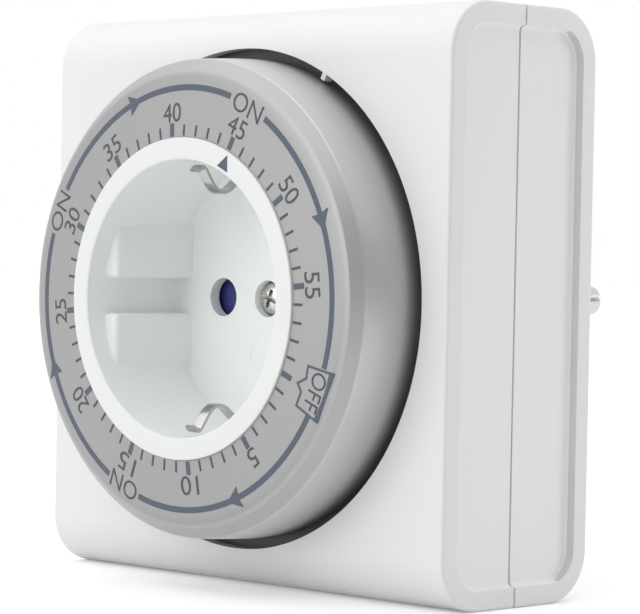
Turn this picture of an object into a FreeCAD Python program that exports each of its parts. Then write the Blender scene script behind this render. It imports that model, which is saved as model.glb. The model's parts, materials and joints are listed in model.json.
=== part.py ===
import FreeCAD, Part
import math
import os

from FreeCAD import Vector

# Plug-in countdown timer: a socket in front, a plug behind, and a turning dial round the socket.
# Frame: X right and Z up as seen from the front, Y from the front towards the wall.
# The origin lies midway between the two plug pins, on the plug's face that meets a wall socket.
# All lengths are in millimetres, all depths are measured backwards from the case's front face.

# Case
CASE_WIDTH = 82.0
CASE_HEIGHT = 84.0
CASE_DEPTH = 30.5
CASE_CORNER = 7.5
CASE_EDGE = 1.0
CASE_WALL = 2.0
SIDE_WALL = 2.6
PANEL_MARGIN = 2.9
PANEL_DEPTH = 1.2
SEAM_GROOVE = 0.3
NIB_ANGLE = 27.0
NIB_REACH = 0.9
NIB_HALF = 0.4
NIB_START = 0.2

# Screws that hold the case's halves together, at two opposite corners
SCREW_INSET_X = 4.8
SCREW_INSET_Z = 4.2
SCREW_R = 1.5
SCREW_HEAD_R = 2.7
SCREW_HEAD = 1.6
SCREW_HEAD_SUNK = 2.0
SCREW_TIP_DEPTH = 5.0
BOSS_HALF = 2.6
PILOT_END = 1.0

# Plug on the back
PLUG_HEIGHT = 19.0
PLUG_R = 18.6
PLUG_FLAT = 16.0
PLUG_FLAT_HALF = 10.6
PLUG_RIB_HALF = 2.3
PLUG_EDGE = 0.8
PIN_SPACING = 19.0
PIN_R = 2.4
PIN_SHANK_R = 2.2
PIN_LENGTH = 19.0
PIN_TIP_R = 1.7
PIN_TIP = 0.7
PIN_COLLAR_R = 3.5
PIN_COLLAR = 1.0
HUB_HALF = 3.5

# Socket cup in the middle of the front
MOUTH_R = 19.8
CUP_WALL = 3.2
CUP_DEPTH = 17.8
CUP_FLOOR = 1.8
CUP_LIP = 0.4
CONTACT_HOLE_R = 2.85
LUG_SET_BACK = 3.2
LUG_FLAT_FRONT = 17.0
LUG_FLAT_FLOOR = 16.3
LUG_GROOVE = 5.2
RECESS_R = 2.7
RECESS_DEPTH = 0.6
CENTRE_HEAD_R = 2.45
FOOT_HALF = 2.0
FOOT_INNER = 19.0
FOOT_OUTER = 22.0

# Dial
DIAL_MARGIN_X = 4.0
DIAL_MARGIN_Z = 5.0
DIAL_SET_BACK = 0.4
DIAL_EDGE_IN = 0.8
DIAL_EDGE = 0.6
DIAL_FACE_WALL = 2.2
DIAL_SKIRT_WALL = 1.6
DIAL_GAP = 0.3
HOLE_GAP = 1.5
FLANGE_LAP = 0.7
FLANGE = 1.1

# Ring gear and cam behind the dial
DIAL_TEETH = 84
RING_SET_IN = 0.149
RING_GEAR = 3.0
CAM_SET_IN = 7.0
CAM_WALL = 5.0
CAM = 2.9
NOTCH_DEPTH = 1.6
NOTCH_ANGLE = 9.0
NOTCH_RAMP = 5.0
NOTCH_STEEP = 0.5
OFF_TO_POINTER = 270.0

# Frame that carries the movement
FRAME_PLATE = 1.8
FRAME_GAP = 0.6
LEG_WIDTH = 9.0
LEG_WALL = 1.8
LEG_Z = 9.0
HOOK_WIDTH = 4.0
HOOK_SHELF = 1.2
HOOK_NOSE = 0.8
HOOK_RISE = 1.6
HOOK_POST = 1.3

# Gear train
CLUTCH_R = 8.75
OUTPUT_TEETH = 7
CLUTCH_TEETH = 35
MOTOR_TEETH = 7
OUTPUT_ANGLE = -45.0
MOTOR_ANGLE = 180.0
TOOTH_TIP = 0.85
TOOTH_ROOT = 1.15
WHEEL_TIP_SHARE = 0.2
WHEEL_ROOT_SHARE = 0.56
LEAF_TIP_SHARE = 0.22
LEAF_ROOT_SHARE = 0.42
WHEEL = 1.5
CLUTCH_GAP = 0.7
CLUTCH_SPRING = 0.5
SPRING_REACH = 4.6
SPRING_ARMS = 3
SPRING_ROOT_ANGLE = 40.0
SPRING_TIP_ANGLE = 9.0
KEEPER_R = 1.7
KEEPER = 0.6
ARBOR_R = 0.9

# Motor and its mounting plate
MOTOR_SHARE = 0.3108
MOTOR_SPARE = 2.2
MOTOR_OFFSET = 6.0
MOTOR_TURN = 165.0
MOTOR_JOURNAL = 2.0
PLATE = 1.2
PLATE_MARGIN = 1.6
PLATE_CORNER = 3.0
PLATE_EDGE = 0.5

# Switch, measured along the lever from its pivot and outwards from the cam
LEVER_ANGLE = 75.0
LEVER_SHARE = 0.6
LEVER_RISE = 2.5
LEVER_WIDTH = 2.0
LEVER = 2.0
LEVER_EYE_R = 1.7
PIVOT_R = 0.8
NOSE_R = 1.4
RIDGE = 0.8
LEAF_WIDTH = 2.2
LEAF = 0.35
LEAF_TAIL = -11.0
LEAF_PAST_NOSE = 5.0
CONTACT_R = 1.1
CONTACT = 0.8
CONTACT_FROM_TIP = 1.6
BASE_START = -9.2
BASE_END = -4.5
BASE_LOW = 2.5
BASE_ABOVE = 2.2
LEG_ALONG = 1.4

# Current paths; the clips' bends are measured behind the rim and inwards from the cup's wall
GRIP_TO_PIN = 1.9
GRIP_FLARE = 0.6
GRIP_LEAD = 2.1
GRIP_SPREAD = 0.25
GRIP_WIDTH = 4.4
GRIP_FOLD = 2.0
PIN_ROOM = 0.2
STRIP = 0.6
STRIP_WIDTH = 5.0
LEAD_WIDTH = 3.0
LEAD = 0.5
CLIP_WIDTH = 3.0
BOW_EYE_R = 3.0
CLIP_SET_IN = 0.5
CLIP_STRAIGHT = 13.6
CLIP_INNER_BENDS = [(12.4, 1.3), (8.6, 4.45), (7.4, 4.8)]
CLIP_OUTER_BENDS = [(6.4, 4.55), (4.4, 2.2), (3.6, 1.5), (3.25, 1.6)]
LEAD_MARGIN = 11.0
LEAD_SWAY = 1.0
LEAD_TURN_Z = 20.0
LIVE_OUT_BEND = (14.0, 16.0)
PLUG_EARTH_SUNK = 0.9
CHANNEL_END = 2.0
CHANNEL_SPARE = 1.0
TAB_HALF = 1.5
TAB_Z = 9.0

# Shutter
SHUTTER = 0.85
SHUTTER_GAP = 0.8
SHUTTER_R = 13.0
SHUTTER_DISC_R = 6.6
PIVOT_HUB_R = 4.2
WING_ANGLE = 21.0
RETURN_WIRE = 0.4
RETURN_PATH = [(12.2, 5.4), (15.6, 6.4), (11.6, 8.3), (15.2, 10.2), (13.2, 11.8)]

# Clearances
FIT = 0.05
LOOSE = 0.3
PILOT = 0.05
OVERCUT = 1.0

# Values that follow from the sizes above
FRONT_Y = -PLUG_HEIGHT - CASE_DEPTH
HALF_WIDTH = CASE_WIDTH / 2
HALF_HEIGHT = CASE_HEIGHT / 2
SEAM_DEPTH = CASE_DEPTH / 2
INNER_X = HALF_WIDTH - SIDE_WALL
INNER_Z = HALF_HEIGHT - CASE_WALL
BACK_INSIDE = CASE_DEPTH - CASE_WALL
PLUG_END = CASE_DEPTH + PLUG_HEIGHT
PIN_X = PIN_SPACING / 2
PIN_DEPTH = BACK_INSIDE - PIN_COLLAR
GRIP_BACK = PIN_DEPTH - GRIP_TO_PIN
FLOOR_DEPTH = GRIP_BACK - STRIP - PIN_ROOM - PIN_LENGTH
FLOOR_BACK = FLOOR_DEPTH + CUP_FLOOR
SHUTTER_BACK = FLOOR_BACK + SHUTTER_GAP + SHUTTER
CUP_RISE = CUP_DEPTH - FLOOR_DEPTH
RIM_R = MOUTH_R + CUP_WALL
CLIP_BACK = MOUTH_R - CLIP_SET_IN
LUG_START = LUG_SET_BACK - CUP_RISE
DIAL_RISE = CUP_RISE - DIAL_SET_BACK
DIAL_BORE_R = RIM_R + DIAL_GAP
FLANGE_R = min(HALF_WIDTH - DIAL_MARGIN_X, HALF_HEIGHT - DIAL_MARGIN_Z)
HOLE_R = FLANGE_R - FLANGE_LAP
DIAL_R = HOLE_R - HOLE_GAP
DIAL_FACE_EDGE_R = DIAL_R - DIAL_EDGE_IN
DIAL_MODULE = (FLANGE_R - RING_SET_IN) / (DIAL_TEETH / 2 + TOOTH_TIP)
FINE_MODULE = 2 * CLUTCH_R / CLUTCH_TEETH
CAM_R = FLANGE_R - CAM_SET_IN
RING_BORE_R = max(CAM_R - CAM_WALL, DIAL_BORE_R + LOOSE)
FLANGE_DEPTH = CASE_WALL + LOOSE
GEAR_DEPTH = FLANGE_DEPTH + FLANGE
CAM_DEPTH = GEAR_DEPTH + RING_GEAR
CAM_BACK = CAM_DEPTH + CAM
FRAME_DEPTH = max(CAM_BACK, SHUTTER_BACK) + LOOSE
FRAME_BACK = FRAME_DEPTH + FRAME_PLATE
SCREW_SEAT = CASE_DEPTH - SCREW_HEAD_SUNK - SCREW_HEAD
SCREW_X = HALF_WIDTH - SCREW_INSET_X
SCREW_Z = HALF_HEIGHT - SCREW_INSET_Z
CASE_SCREWS = [(SCREW_X, SCREW_Z), (-SCREW_X, -SCREW_Z)]
OUTPUT_DEPTH = GEAR_DEPTH + LOOSE
CLUTCH_DEPTH = FRAME_BACK + CLUTCH_GAP
SPRING_DEPTH = CLUTCH_DEPTH + WHEEL + FIT
KEEPER_DEPTH = SPRING_DEPTH + CLUTCH_SPRING + FIT
PLATE_DEPTH = KEEPER_DEPTH + KEEPER + LOOSE
MOTOR_DEPTH = PLATE_DEPTH + PLATE
MOTOR_HEIGHT = BACK_INSIDE - MOTOR_SPARE - MOTOR_DEPTH
JOURNAL_R = ARBOR_R + FIT
NOTCH_CENTRE = LEVER_ANGLE - (360.0 - OFF_TO_POINTER)
LEVER_DEPTH = CAM_DEPTH + LOOSE
LEVER_ARM = LEVER_SHARE * CAM_R
LEAF_TIP = LEVER_ARM + LEAF_PAST_NOSE
CONTACT_ALONG = LEAF_TIP - CONTACT_FROM_TIP
LEAF_OUT = LEVER_RISE + LEVER_EYE_R + LOOSE
FIXED_OUT = LEAF_OUT + LEAF + 2 * CONTACT + FIT
GRIP_Z = PIN_R + FIT + STRIP / 2
GRIP_START = FRAME_DEPTH + LOOSE
GRIP_THROAT = GRIP_START + GRIP_LEAD
PLUG_EARTH_Z = PLUG_R - PLUG_EARTH_SUNK


def polar(radius, degrees):
    """A point in the XZ plane, at an angle from +X towards +Z."""
    angle = math.radians(degrees)
    return radius * math.cos(angle), radius * math.sin(angle)


def moved(point, radius, degrees):
    """The point at a distance and an angle from another point."""
    dx, dz = polar(radius, degrees)
    return point[0] + dx, point[1] + dz


OUTPUT = polar(DIAL_MODULE * (DIAL_TEETH + OUTPUT_TEETH) / 2, OUTPUT_ANGLE)
MOTOR_SHAFT = moved(OUTPUT, FINE_MODULE * (CLUTCH_TEETH + MOTOR_TEETH) / 2, MOTOR_ANGLE)
MOTOR = moved(MOTOR_SHAFT, MOTOR_OFFSET, MOTOR_TURN)
MOTOR_R = MOTOR_SHARE * FLANGE_R
PLATE_LEFT = MOTOR[0] - MOTOR_R - PLATE_MARGIN
PLATE_RIGHT = OUTPUT[0] + PLATE_CORNER
PLATE_LOW = MOTOR[1] - MOTOR_R - PLATE_EDGE
PLATE_HIGH = MOTOR[1] + MOTOR_R + PLATE_EDGE


def at(depth):
    """The Y of a plane at a depth behind the case's front face."""
    return FRONT_Y + depth


def rod(radius, start, end, point=(0.0, 0.0)):
    """A round bar along Y between two depths."""
    return Part.makeCylinder(radius, end - start, Vector(point[0], at(start), point[1]), Vector(0, 1, 0))


def block(x0, x1, start, end, z0, z1):
    """A rectangular block between two depths, its X and Z limits in either order."""
    x0, x1 = sorted((x0, x1))
    z0, z1 = sorted((z0, z1))
    return Part.makeBox(x1 - x0, end - start, z1 - z0, Vector(x0, at(start), z0))


def prism(points, start, end):
    """A closed outline in the XZ plane, given a thickness along Y."""
    corners = [Vector(x, at(start), z) for x, z in points]
    face = Part.Face(Part.makePolygon(corners + corners[:1]))
    return face.extrude(Vector(0, end - start, 0))


def side_prism(points, x0, x1):
    """A closed outline of depth and Z, given a thickness along X."""
    corners = [Vector(x0, at(depth), z) for depth, z in points]
    face = Part.Face(Part.makePolygon(corners + corners[:1]))
    return face.extrude(Vector(x1 - x0, 0, 0))


def turned(points, centre=(0.0, 0.0)):
    """A solid of revolution about a line along Y, from an outline of radius and depth."""
    corners = [Vector(radius, at(depth), 0) for radius, depth in points]
    face = Part.Face(Part.makePolygon(corners + corners[:1]))
    solid = face.revolve(Vector(0, 0, 0), Vector(0, 1, 0), 360)
    solid.translate(Vector(centre[0], 0, centre[1]))
    return solid


def pilot(radius, start, end, point=(0.0, 0.0)):
    """The six-sided hole in a moulding that a screw cuts its thread in."""
    reach = (radius + PILOT) / math.cos(math.radians(30.0))
    return prism([moved(point, reach, 60.0 * i) for i in range(6)], start, end)


def strip_path(points, thickness):
    """The outline of a strip of even thickness along a path of points, with mitred bends."""
    left = []
    right = []
    for i, (px, pz) in enumerate(points):
        before = points[max(i - 1, 0)]
        after = points[min(i + 1, len(points) - 1)]
        into = math.atan2(pz - before[1], px - before[0]) if i else None
        out = math.atan2(after[1] - pz, after[0] - px) if i < len(points) - 1 else None
        into = out if into is None else into
        out = into if out is None else out
        bend = math.atan2(math.sin(out - into), math.cos(out - into)) / 2
        normal = into + bend + math.pi / 2
        reach = thickness / 2 / math.cos(bend)
        left.append((px + reach * math.cos(normal), pz + reach * math.sin(normal)))
        right.append((px - reach * math.cos(normal), pz - reach * math.sin(normal)))
    return left + right[::-1]


def gear(teeth, module, start, end, point, toward, tooth_there, tip_share, root_share):
    """A spur gear with a tooth, or a gap, at the angle `toward`, and straight-flanked teeth."""
    pitch_r = module * teeth / 2
    tip_r = pitch_r + TOOTH_TIP * module
    root_r = pitch_r - TOOTH_ROOT * module
    step = 360.0 / teeth
    first = toward if tooth_there else toward + step / 2
    outline = []
    for i in range(teeth):
        middle = first + i * step
        outline.append(moved(point, root_r, middle - step * root_share / 2))
        outline.append(moved(point, tip_r, middle - step * tip_share / 2))
        outline.append(moved(point, tip_r, middle + step * tip_share / 2))
        outline.append(moved(point, root_r, middle + step * root_share / 2))
    return prism(outline, start, end)


def wheel(teeth, module, start, end, point, toward):
    """A gear with a tooth towards the pinion that it meshes with."""
    return gear(teeth, module, start, end, point, toward, True, WHEEL_TIP_SHARE, WHEEL_ROOT_SHARE)


def pinion(teeth, module, start, end, point, toward):
    """A small gear with thin leaves, set with a gap towards the wheel that it meshes with."""
    return gear(teeth, module, start, end, point, toward, False, LEAF_TIP_SHARE, LEAF_ROOT_SHARE)


def lying_edges(box):
    """The four edges of a block that run along X."""
    return [e for e in box.Edges if abs(e.Vertexes[0].X - e.Vertexes[1].X) > FIT]


def case_form(inset, half_width):
    """The case's form, rounded in side view and drawn in by `inset` in front, behind, above and below."""
    tall = HALF_HEIGHT - inset
    box = block(-half_width, half_width, inset, CASE_DEPTH - inset, -tall, tall)
    return box.makeFillet(CASE_CORNER - inset, lying_edges(box))


def side_panels():
    """The shallow recessed panels on both sides, as the solids to take away."""
    tall = HALF_HEIGHT - PANEL_MARGIN
    end = CASE_DEPTH - PANEL_MARGIN
    box = block(HALF_WIDTH - PANEL_DEPTH, HALF_WIDTH + OVERCUT, PANEL_MARGIN, end, -tall, tall)
    panel = box.makeFillet(CASE_CORNER - PANEL_MARGIN, lying_edges(box))
    return panel.fuse(panel.mirror(Vector(0, 0, 0), Vector(1, 0, 0)))


def rounded_case():
    """The whole case before it is divided: broken edges at both ends and a recessed panel in each side."""
    body = case_form(0.0, HALF_WIDTH)
    end_edges = [e for e in body.Edges if abs(abs(e.CenterOfMass.x) - HALF_WIDTH) < FIT]
    return body.makeChamfer(CASE_EDGE, end_edges).cut(side_panels())


def case_half(start, end):
    """The hollow case between two depths."""
    part = rounded_case().common(block(-HALF_WIDTH, HALF_WIDTH, start, end, -HALF_HEIGHT, HALF_HEIGHT))
    return part.cut(case_form(CASE_WALL, INNER_X))


def seam_groove():
    """The fine groove that runs round the case where its halves meet."""
    start = SEAM_DEPTH - SEAM_GROOVE
    x = HALF_WIDTH - SEAM_GROOVE
    z = HALF_HEIGHT - SEAM_GROOVE
    panel_x = x - PANEL_DEPTH
    panel_z = HALF_HEIGHT - PANEL_MARGIN + SEAM_GROOVE
    wide = HALF_WIDTH + OVERCUT
    tall = HALF_HEIGHT + OVERCUT
    slab = block(-wide, wide, start, SEAM_DEPTH, -tall, tall)
    ends = block(-x, x, start, SEAM_DEPTH, -z, z)
    ends = ends.cut(block(-x, x, start, SEAM_DEPTH, -panel_z, panel_z))
    middle = block(-panel_x, panel_x, start, SEAM_DEPTH, -panel_z, panel_z)
    return slab.cut(ends.fuse(middle))


def corner_boss(point, start, end):
    """The square boss in a corner of the case that a case screw goes through."""
    x = math.copysign(INNER_X + PANEL_DEPTH, point[0])
    z = math.copysign(HALF_HEIGHT - PILOT_END, point[1])
    inner_x = point[0] - math.copysign(BOSS_HALF, point[0])
    inner_z = point[1] - math.copysign(BOSS_HALF, point[1])
    return block(inner_x, x, start, end, inner_z, z).common(rounded_case())


def front_shell():
    """The front half of the case, with the round hole that the dial stands in."""
    shell = case_half(0.0, SEAM_DEPTH)
    shell = shell.cut(rod(HOLE_R, 0.0, CASE_WALL))
    shell = shell.cut(rod(FLANGE_R + LOOSE, CASE_WALL, SEAM_DEPTH))
    shell = shell.cut(seam_groove())
    for point in CASE_SCREWS:
        shell = shell.fuse(corner_boss(point, PILOT_END, SEAM_DEPTH - SEAM_GROOVE))
        shell = shell.cut(pilot(SCREW_R, SCREW_TIP_DEPTH - PILOT_END, SEAM_DEPTH, point))
    nib = block(-NIB_HALF, NIB_HALF, NIB_START, CASE_WALL, HOLE_R - NIB_REACH, HOLE_R + NIB_REACH)
    nib.rotate(Vector(0, 0, 0), Vector(0, 1, 0), NIB_ANGLE)
    return shell.fuse(nib).removeSplitter()


def plug_body():
    """The round plug, cut flat at both sides with a guide rib left in the middle of each flat."""
    body = turned([
        (0.0, BACK_INSIDE),
        (PLUG_R, BACK_INSIDE),
        (PLUG_R, PLUG_END - PLUG_EDGE),
        (PLUG_R - PLUG_EDGE, PLUG_END),
        (0.0, PLUG_END),
    ])
    for side in (-1, 1):
        near = side * PLUG_FLAT
        far = side * (PLUG_R + OVERCUT)
        flat = block(near, far, CASE_DEPTH, PLUG_END, -PLUG_FLAT_HALF, PLUG_FLAT_HALF)
        rib = block(near, far, CASE_DEPTH, PLUG_END, -PLUG_RIB_HALF, PLUG_RIB_HALF)
        body = body.cut(flat.cut(rib))
    return body


def earth_channel(side):
    """The channel in the plug's top or bottom for the earth strip, with its slot into the case."""
    half = STRIP_WIDTH / 2 + LOOSE
    inner = side * (PLUG_EARTH_Z - STRIP - FIT)
    outer = side * (PLUG_R + OVERCUT)
    channel = block(-half, half, CASE_DEPTH, PLUG_END - CHANNEL_END, inner, outer)
    slot = block(-half, half, BACK_INSIDE, CASE_DEPTH, inner, side * (PLUG_EARTH_Z + FIT))
    return channel.fuse(slot)


def rear_shell():
    """The rear half of the case, moulded in one with the plug."""
    shell = case_half(SEAM_DEPTH, CASE_DEPTH).fuse(plug_body())
    for point in CASE_SCREWS:
        shell = shell.fuse(corner_boss(point, SEAM_DEPTH, CASE_DEPTH - PILOT_END))
        shell = shell.cut(rod(SCREW_R + FIT, SEAM_DEPTH, CASE_DEPTH, point))
        shell = shell.cut(rod(SCREW_HEAD_R + FIT, SCREW_SEAT, CASE_DEPTH, point))
    shell = shell.fuse(block(-HUB_HALF, HUB_HALF, FRAME_BACK + STRIP, CASE_DEPTH, -HUB_HALF, HUB_HALF))
    shell = shell.cut(pilot(SCREW_R, FRAME_BACK, BACK_INSIDE))
    for side in (-1, 1):
        shell = shell.cut(rod(PIN_SHANK_R + FIT, BACK_INSIDE, PLUG_END, (side * PIN_X, 0.0)))
        shell = shell.cut(earth_channel(side))
    return shell.removeSplitter()


def lugs(side):
    """The pair of guide lugs on one side of the cup, flat towards the axis, with a groove between."""
    end = FLOOR_DEPTH + CUP_FLOOR / 2
    outer = MOUTH_R + CUP_WALL / 2
    outline = [(LUG_FLAT_FRONT, LUG_START), (outer, LUG_START), (outer, end), (LUG_FLAT_FLOOR, end)]
    corners = [Vector(side * x, at(depth), -MOUTH_R) for x, depth in outline]
    wedge = Part.Face(Part.makePolygon(corners + corners[:1])).extrude(Vector(0, 0, 2 * MOUTH_R))
    wedge = wedge.common(rod(outer, LUG_START, end))
    half = LUG_GROOVE / 2
    return wedge.cut(block(side * PIN_X, side * RIM_R, LUG_START, end, -half, half))


def socket_insert():
    """The round cup that a plug goes into, standing on four feet on the frame."""
    cup = turned([
        (0.0, FLOOR_DEPTH),
        (MOUTH_R, FLOOR_DEPTH),
        (MOUTH_R, CUP_LIP - CUP_RISE),
        (MOUTH_R + CUP_LIP, -CUP_RISE),
        (RIM_R, -CUP_RISE),
        (RIM_R, FLOOR_BACK),
        (0.0, FLOOR_BACK),
    ])
    cup = cup.fuse(rod(PIVOT_HUB_R, FLOOR_BACK, FRAME_DEPTH))
    for i in range(4):
        foot = block(FOOT_INNER, FOOT_OUTER, FLOOR_BACK, FRAME_DEPTH, -FOOT_HALF, FOOT_HALF)
        foot.rotate(Vector(0, 0, 0), Vector(0, 1, 0), 45.0 + 90.0 * i)
        cup = cup.fuse(foot)
    slot_half = CLIP_WIDTH / 2 + LOOSE
    slot_inner = CLIP_BACK - STRIP - LOOSE
    for side in (-1, 1):
        cup = cup.fuse(lugs(side))
        cup = cup.cut(rod(CONTACT_HOLE_R, FLOOR_DEPTH, FLOOR_BACK, (side * PIN_X, 0.0)))
        slot_outer = side * (CLIP_BACK + LOOSE / 2)
        cup = cup.cut(block(-slot_half, slot_half, FLOOR_DEPTH, FLOOR_BACK, side * slot_inner, slot_outer))
    cup = cup.cut(rod(RECESS_R, FLOOR_DEPTH, FLOOR_DEPTH + RECESS_DEPTH + SCREW_HEAD))
    cup = cup.cut(rod(SCREW_R + FIT, FLOOR_DEPTH, FRAME_DEPTH))
    return cup.removeSplitter()


def dial_ring():
    """The turning dial: a flat face, a skirt with a broken edge and a flange that the case holds in."""
    face = -DIAL_RISE
    under = face + DIAL_FACE_WALL
    return turned([
        (DIAL_BORE_R, face),
        (DIAL_FACE_EDGE_R, face),
        (DIAL_R, face + DIAL_EDGE),
        (DIAL_R, FLANGE_DEPTH),
        (FLANGE_R, FLANGE_DEPTH),
        (FLANGE_R, GEAR_DEPTH),
        (DIAL_R - DIAL_SKIRT_WALL, GEAR_DEPTH),
        (DIAL_R - DIAL_SKIRT_WALL, under),
        (DIAL_BORE_R, under),
    ])


def notch_cutter():
    """The drop in the cam that the switch lever falls into at OFF: a ramp in, and a steep way out."""
    start = NOTCH_CENTRE - NOTCH_ANGLE / 2
    floor_r = CAM_R - NOTCH_DEPTH
    outline = [
        polar(CAM_R + OVERCUT, start - NOTCH_RAMP),
        polar(floor_r, start),
        polar(floor_r, start + NOTCH_ANGLE),
        polar(CAM_R + OVERCUT, start + NOTCH_ANGLE + NOTCH_STEEP),
    ]
    return prism(outline, CAM_DEPTH, CAM_BACK)


def gear_ring():
    """The toothed ring that turns the dial, with the switch's cam behind its teeth."""
    ring = wheel(DIAL_TEETH, DIAL_MODULE, GEAR_DEPTH, CAM_DEPTH, (0.0, 0.0), OUTPUT_ANGLE)
    ring = ring.fuse(rod(CAM_R, CAM_DEPTH, CAM_BACK))
    ring = ring.cut(rod(RING_BORE_R, GEAR_DEPTH, CAM_BACK))
    return ring.cut(notch_cutter()).removeSplitter()


def frame_outline():
    """The frame plate's outline, with its corners left out for the case's screw bosses."""
    x = INNER_X - FRAME_GAP
    z = INNER_Z - FRAME_GAP
    cut_x = SCREW_X - BOSS_HALF - FRAME_GAP
    cut_z = SCREW_Z - BOSS_HALF - FRAME_GAP
    quarter = [(x, cut_z), (cut_x, cut_z), (cut_x, z)]
    return (quarter + [(-a, b) for a, b in quarter[::-1]]
            + [(-a, -b) for a, b in quarter] + [(a, -b) for a, b in quarter[::-1]])


def hook(x, z, turn):
    """A snap hook that stands at an edge of the motor's plate: a shelf below it and a nose over it."""
    nose_end = MOTOR_DEPTH + HOOK_RISE
    outline = [
        (FRAME_BACK, -HOOK_SHELF), (PLATE_DEPTH, -HOOK_SHELF), (PLATE_DEPTH, FIT),
        (MOTOR_DEPTH + FIT, FIT), (MOTOR_DEPTH + FIT, -HOOK_NOSE),
        (nose_end, FIT), (nose_end, HOOK_POST), (FRAME_BACK, HOOK_POST),
    ]
    post = side_prism(outline, -HOOK_WIDTH / 2, HOOK_WIDTH / 2)
    post.rotate(Vector(0, 0, 0), Vector(0, 1, 0), turn)
    post.translate(Vector(x, 0, z))
    return post


def movement_frame():
    """The moulded plate behind the dial, on four legs that reach the case's back."""
    frame = prism(frame_outline(), FRAME_DEPTH, FRAME_BACK)
    edge = INNER_X - FRAME_GAP
    grip_x = GRIP_WIDTH / 2 + LOOSE
    grip_z = GRIP_Z + GRIP_FLARE + STRIP + LOOSE
    slot_x = CLIP_WIDTH / 2 + LOOSE
    half_leg = LEG_WIDTH / 2
    for side in (-1, 1):
        for z in (-LEG_Z, LEG_Z):
            near = side * (edge - LEG_WALL)
            frame = frame.fuse(block(near, side * edge, FRAME_DEPTH, BACK_INSIDE, z - half_leg, z + half_leg))
        middle = side * PIN_X
        frame = frame.cut(block(middle - grip_x, middle + grip_x, FRAME_DEPTH, FRAME_BACK, -grip_z, grip_z))
        slot_inner = side * (CLIP_BACK - STRIP - LOOSE)
        slot_outer = side * (CLIP_BACK + LOOSE)
        frame = frame.cut(block(-slot_x, slot_x, FRAME_DEPTH, FRAME_BACK, slot_inner, slot_outer))
    middle = (PLATE_LOW + PLATE_HIGH) / 2
    frame = frame.fuse(hook(PLATE_LEFT + 2 * HOOK_WIDTH, PLATE_HIGH, 0))
    frame = frame.fuse(hook(PLATE_RIGHT - HOOK_WIDTH, PLATE_HIGH, 0))
    frame = frame.fuse(hook(PLATE_LEFT, middle, -90))
    frame = frame.fuse(hook(PLATE_LEFT + HOOK_WIDTH, PLATE_LOW, 180))
    frame = frame.cut(rod(JOURNAL_R, FRAME_DEPTH, FRAME_BACK, OUTPUT))
    frame = frame.cut(pilot(SCREW_R, FRAME_DEPTH, FRAME_BACK))
    frame = frame.cut(rod(PIVOT_R, FRAME_DEPTH, FRAME_BACK, lever_point(0, LEVER_RISE)))
    tail = LEAF_TAIL - OVERCUT
    rise = FIXED_OUT + OVERCUT - BASE_LOW
    window = lever_bar(tail, BASE_START, BASE_LOW, rise, FRAME_DEPTH, FRAME_BACK)
    return frame.cut(window).removeSplitter()


def lever_point(along, out):
    """A point beside the cam: `along` from the pivot towards the nose, `out` from the cam's surface."""
    radial = math.radians(LEVER_ANGLE)
    shift = along - LEVER_ARM
    x = (CAM_R + out) * math.cos(radial) - shift * math.sin(radial)
    z = (CAM_R + out) * math.sin(radial) + shift * math.cos(radial)
    return x, z


def lever_bar(start_along, end_along, out, thickness, start, end):
    """A straight bar along the lever's direction."""
    near = [lever_point(start_along, out), lever_point(end_along, out)]
    far = [lever_point(end_along, out + thickness), lever_point(start_along, out + thickness)]
    return prism(near + far, start, end)


def switch_lever():
    """The lever that rides on the cam and closes the contacts, with its nose and its push ridge."""
    end = LEVER_DEPTH + LEVER
    arm = lever_bar(0, LEVER_ARM + NOSE_R, LEVER_RISE - LEVER_WIDTH / 2, LEVER_WIDTH, LEVER_DEPTH, end)
    nose = rod(NOSE_R, LEVER_DEPTH, end, lever_point(LEVER_ARM, NOSE_R + FIT))
    foot = LEVER_RISE + LEVER_WIDTH / 2
    ridge = prism([
        lever_point(LEVER_ARM - RIDGE, foot),
        lever_point(LEVER_ARM + RIDGE, foot),
        lever_point(LEVER_ARM, LEAF_OUT - LOOSE),
    ], LEVER_DEPTH, end)
    eye = rod(LEVER_EYE_R, LEVER_DEPTH, end, lever_point(0, LEVER_RISE))
    lever = arm.fuse([nose, ridge, eye])
    return lever.cut(rod(PIVOT_R + FIT, LEVER_DEPTH, end, lever_point(0, LEVER_RISE))).removeSplitter()


def switch_pivot():
    """The steel pin that the lever turns on."""
    return rod(PIVOT_R, LEVER_DEPTH, FRAME_BACK, lever_point(0, LEVER_RISE))


def switch_base():
    """The moulded block that grips the two contact strips."""
    rise = FIXED_OUT + BASE_ABOVE - BASE_LOW
    base = lever_bar(BASE_START, BASE_END, BASE_LOW, rise, LEVER_DEPTH, FRAME_DEPTH)
    slot_end = LEVER_DEPTH + LEAF_WIDTH + FIT
    for out in (LEAF_OUT, FIXED_OUT):
        base = base.cut(lever_bar(BASE_START, BASE_END, out - FIT, LEAF + 2 * FIT, LEVER_DEPTH, slot_end))
    return base


def contact_strip(out, button_out, direction):
    """A spring strip with a contact button that points outwards or inwards."""
    end = LEVER_DEPTH + LEAF_WIDTH
    strip = lever_bar(LEAF_TAIL, LEAF_TIP, out, LEAF, LEVER_DEPTH, end)
    foot = lever_point(CONTACT_ALONG, button_out)
    dx, dz = polar(direction, LEVER_ANGLE)
    centre = Vector(foot[0], at(LEVER_DEPTH + LEAF_WIDTH / 2), foot[1])
    return strip.fuse(Part.makeCylinder(CONTACT_R, CONTACT, centre, Vector(dx, 0, dz))).removeSplitter()


def contact_leaf():
    """The sprung strip that the lever presses outwards."""
    return contact_strip(LEAF_OUT, LEAF_OUT + LEAF, 1.0)


def fixed_contact():
    """The strip that the sprung one meets."""
    return contact_strip(FIXED_OUT, FIXED_OUT, -1.0)


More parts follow.
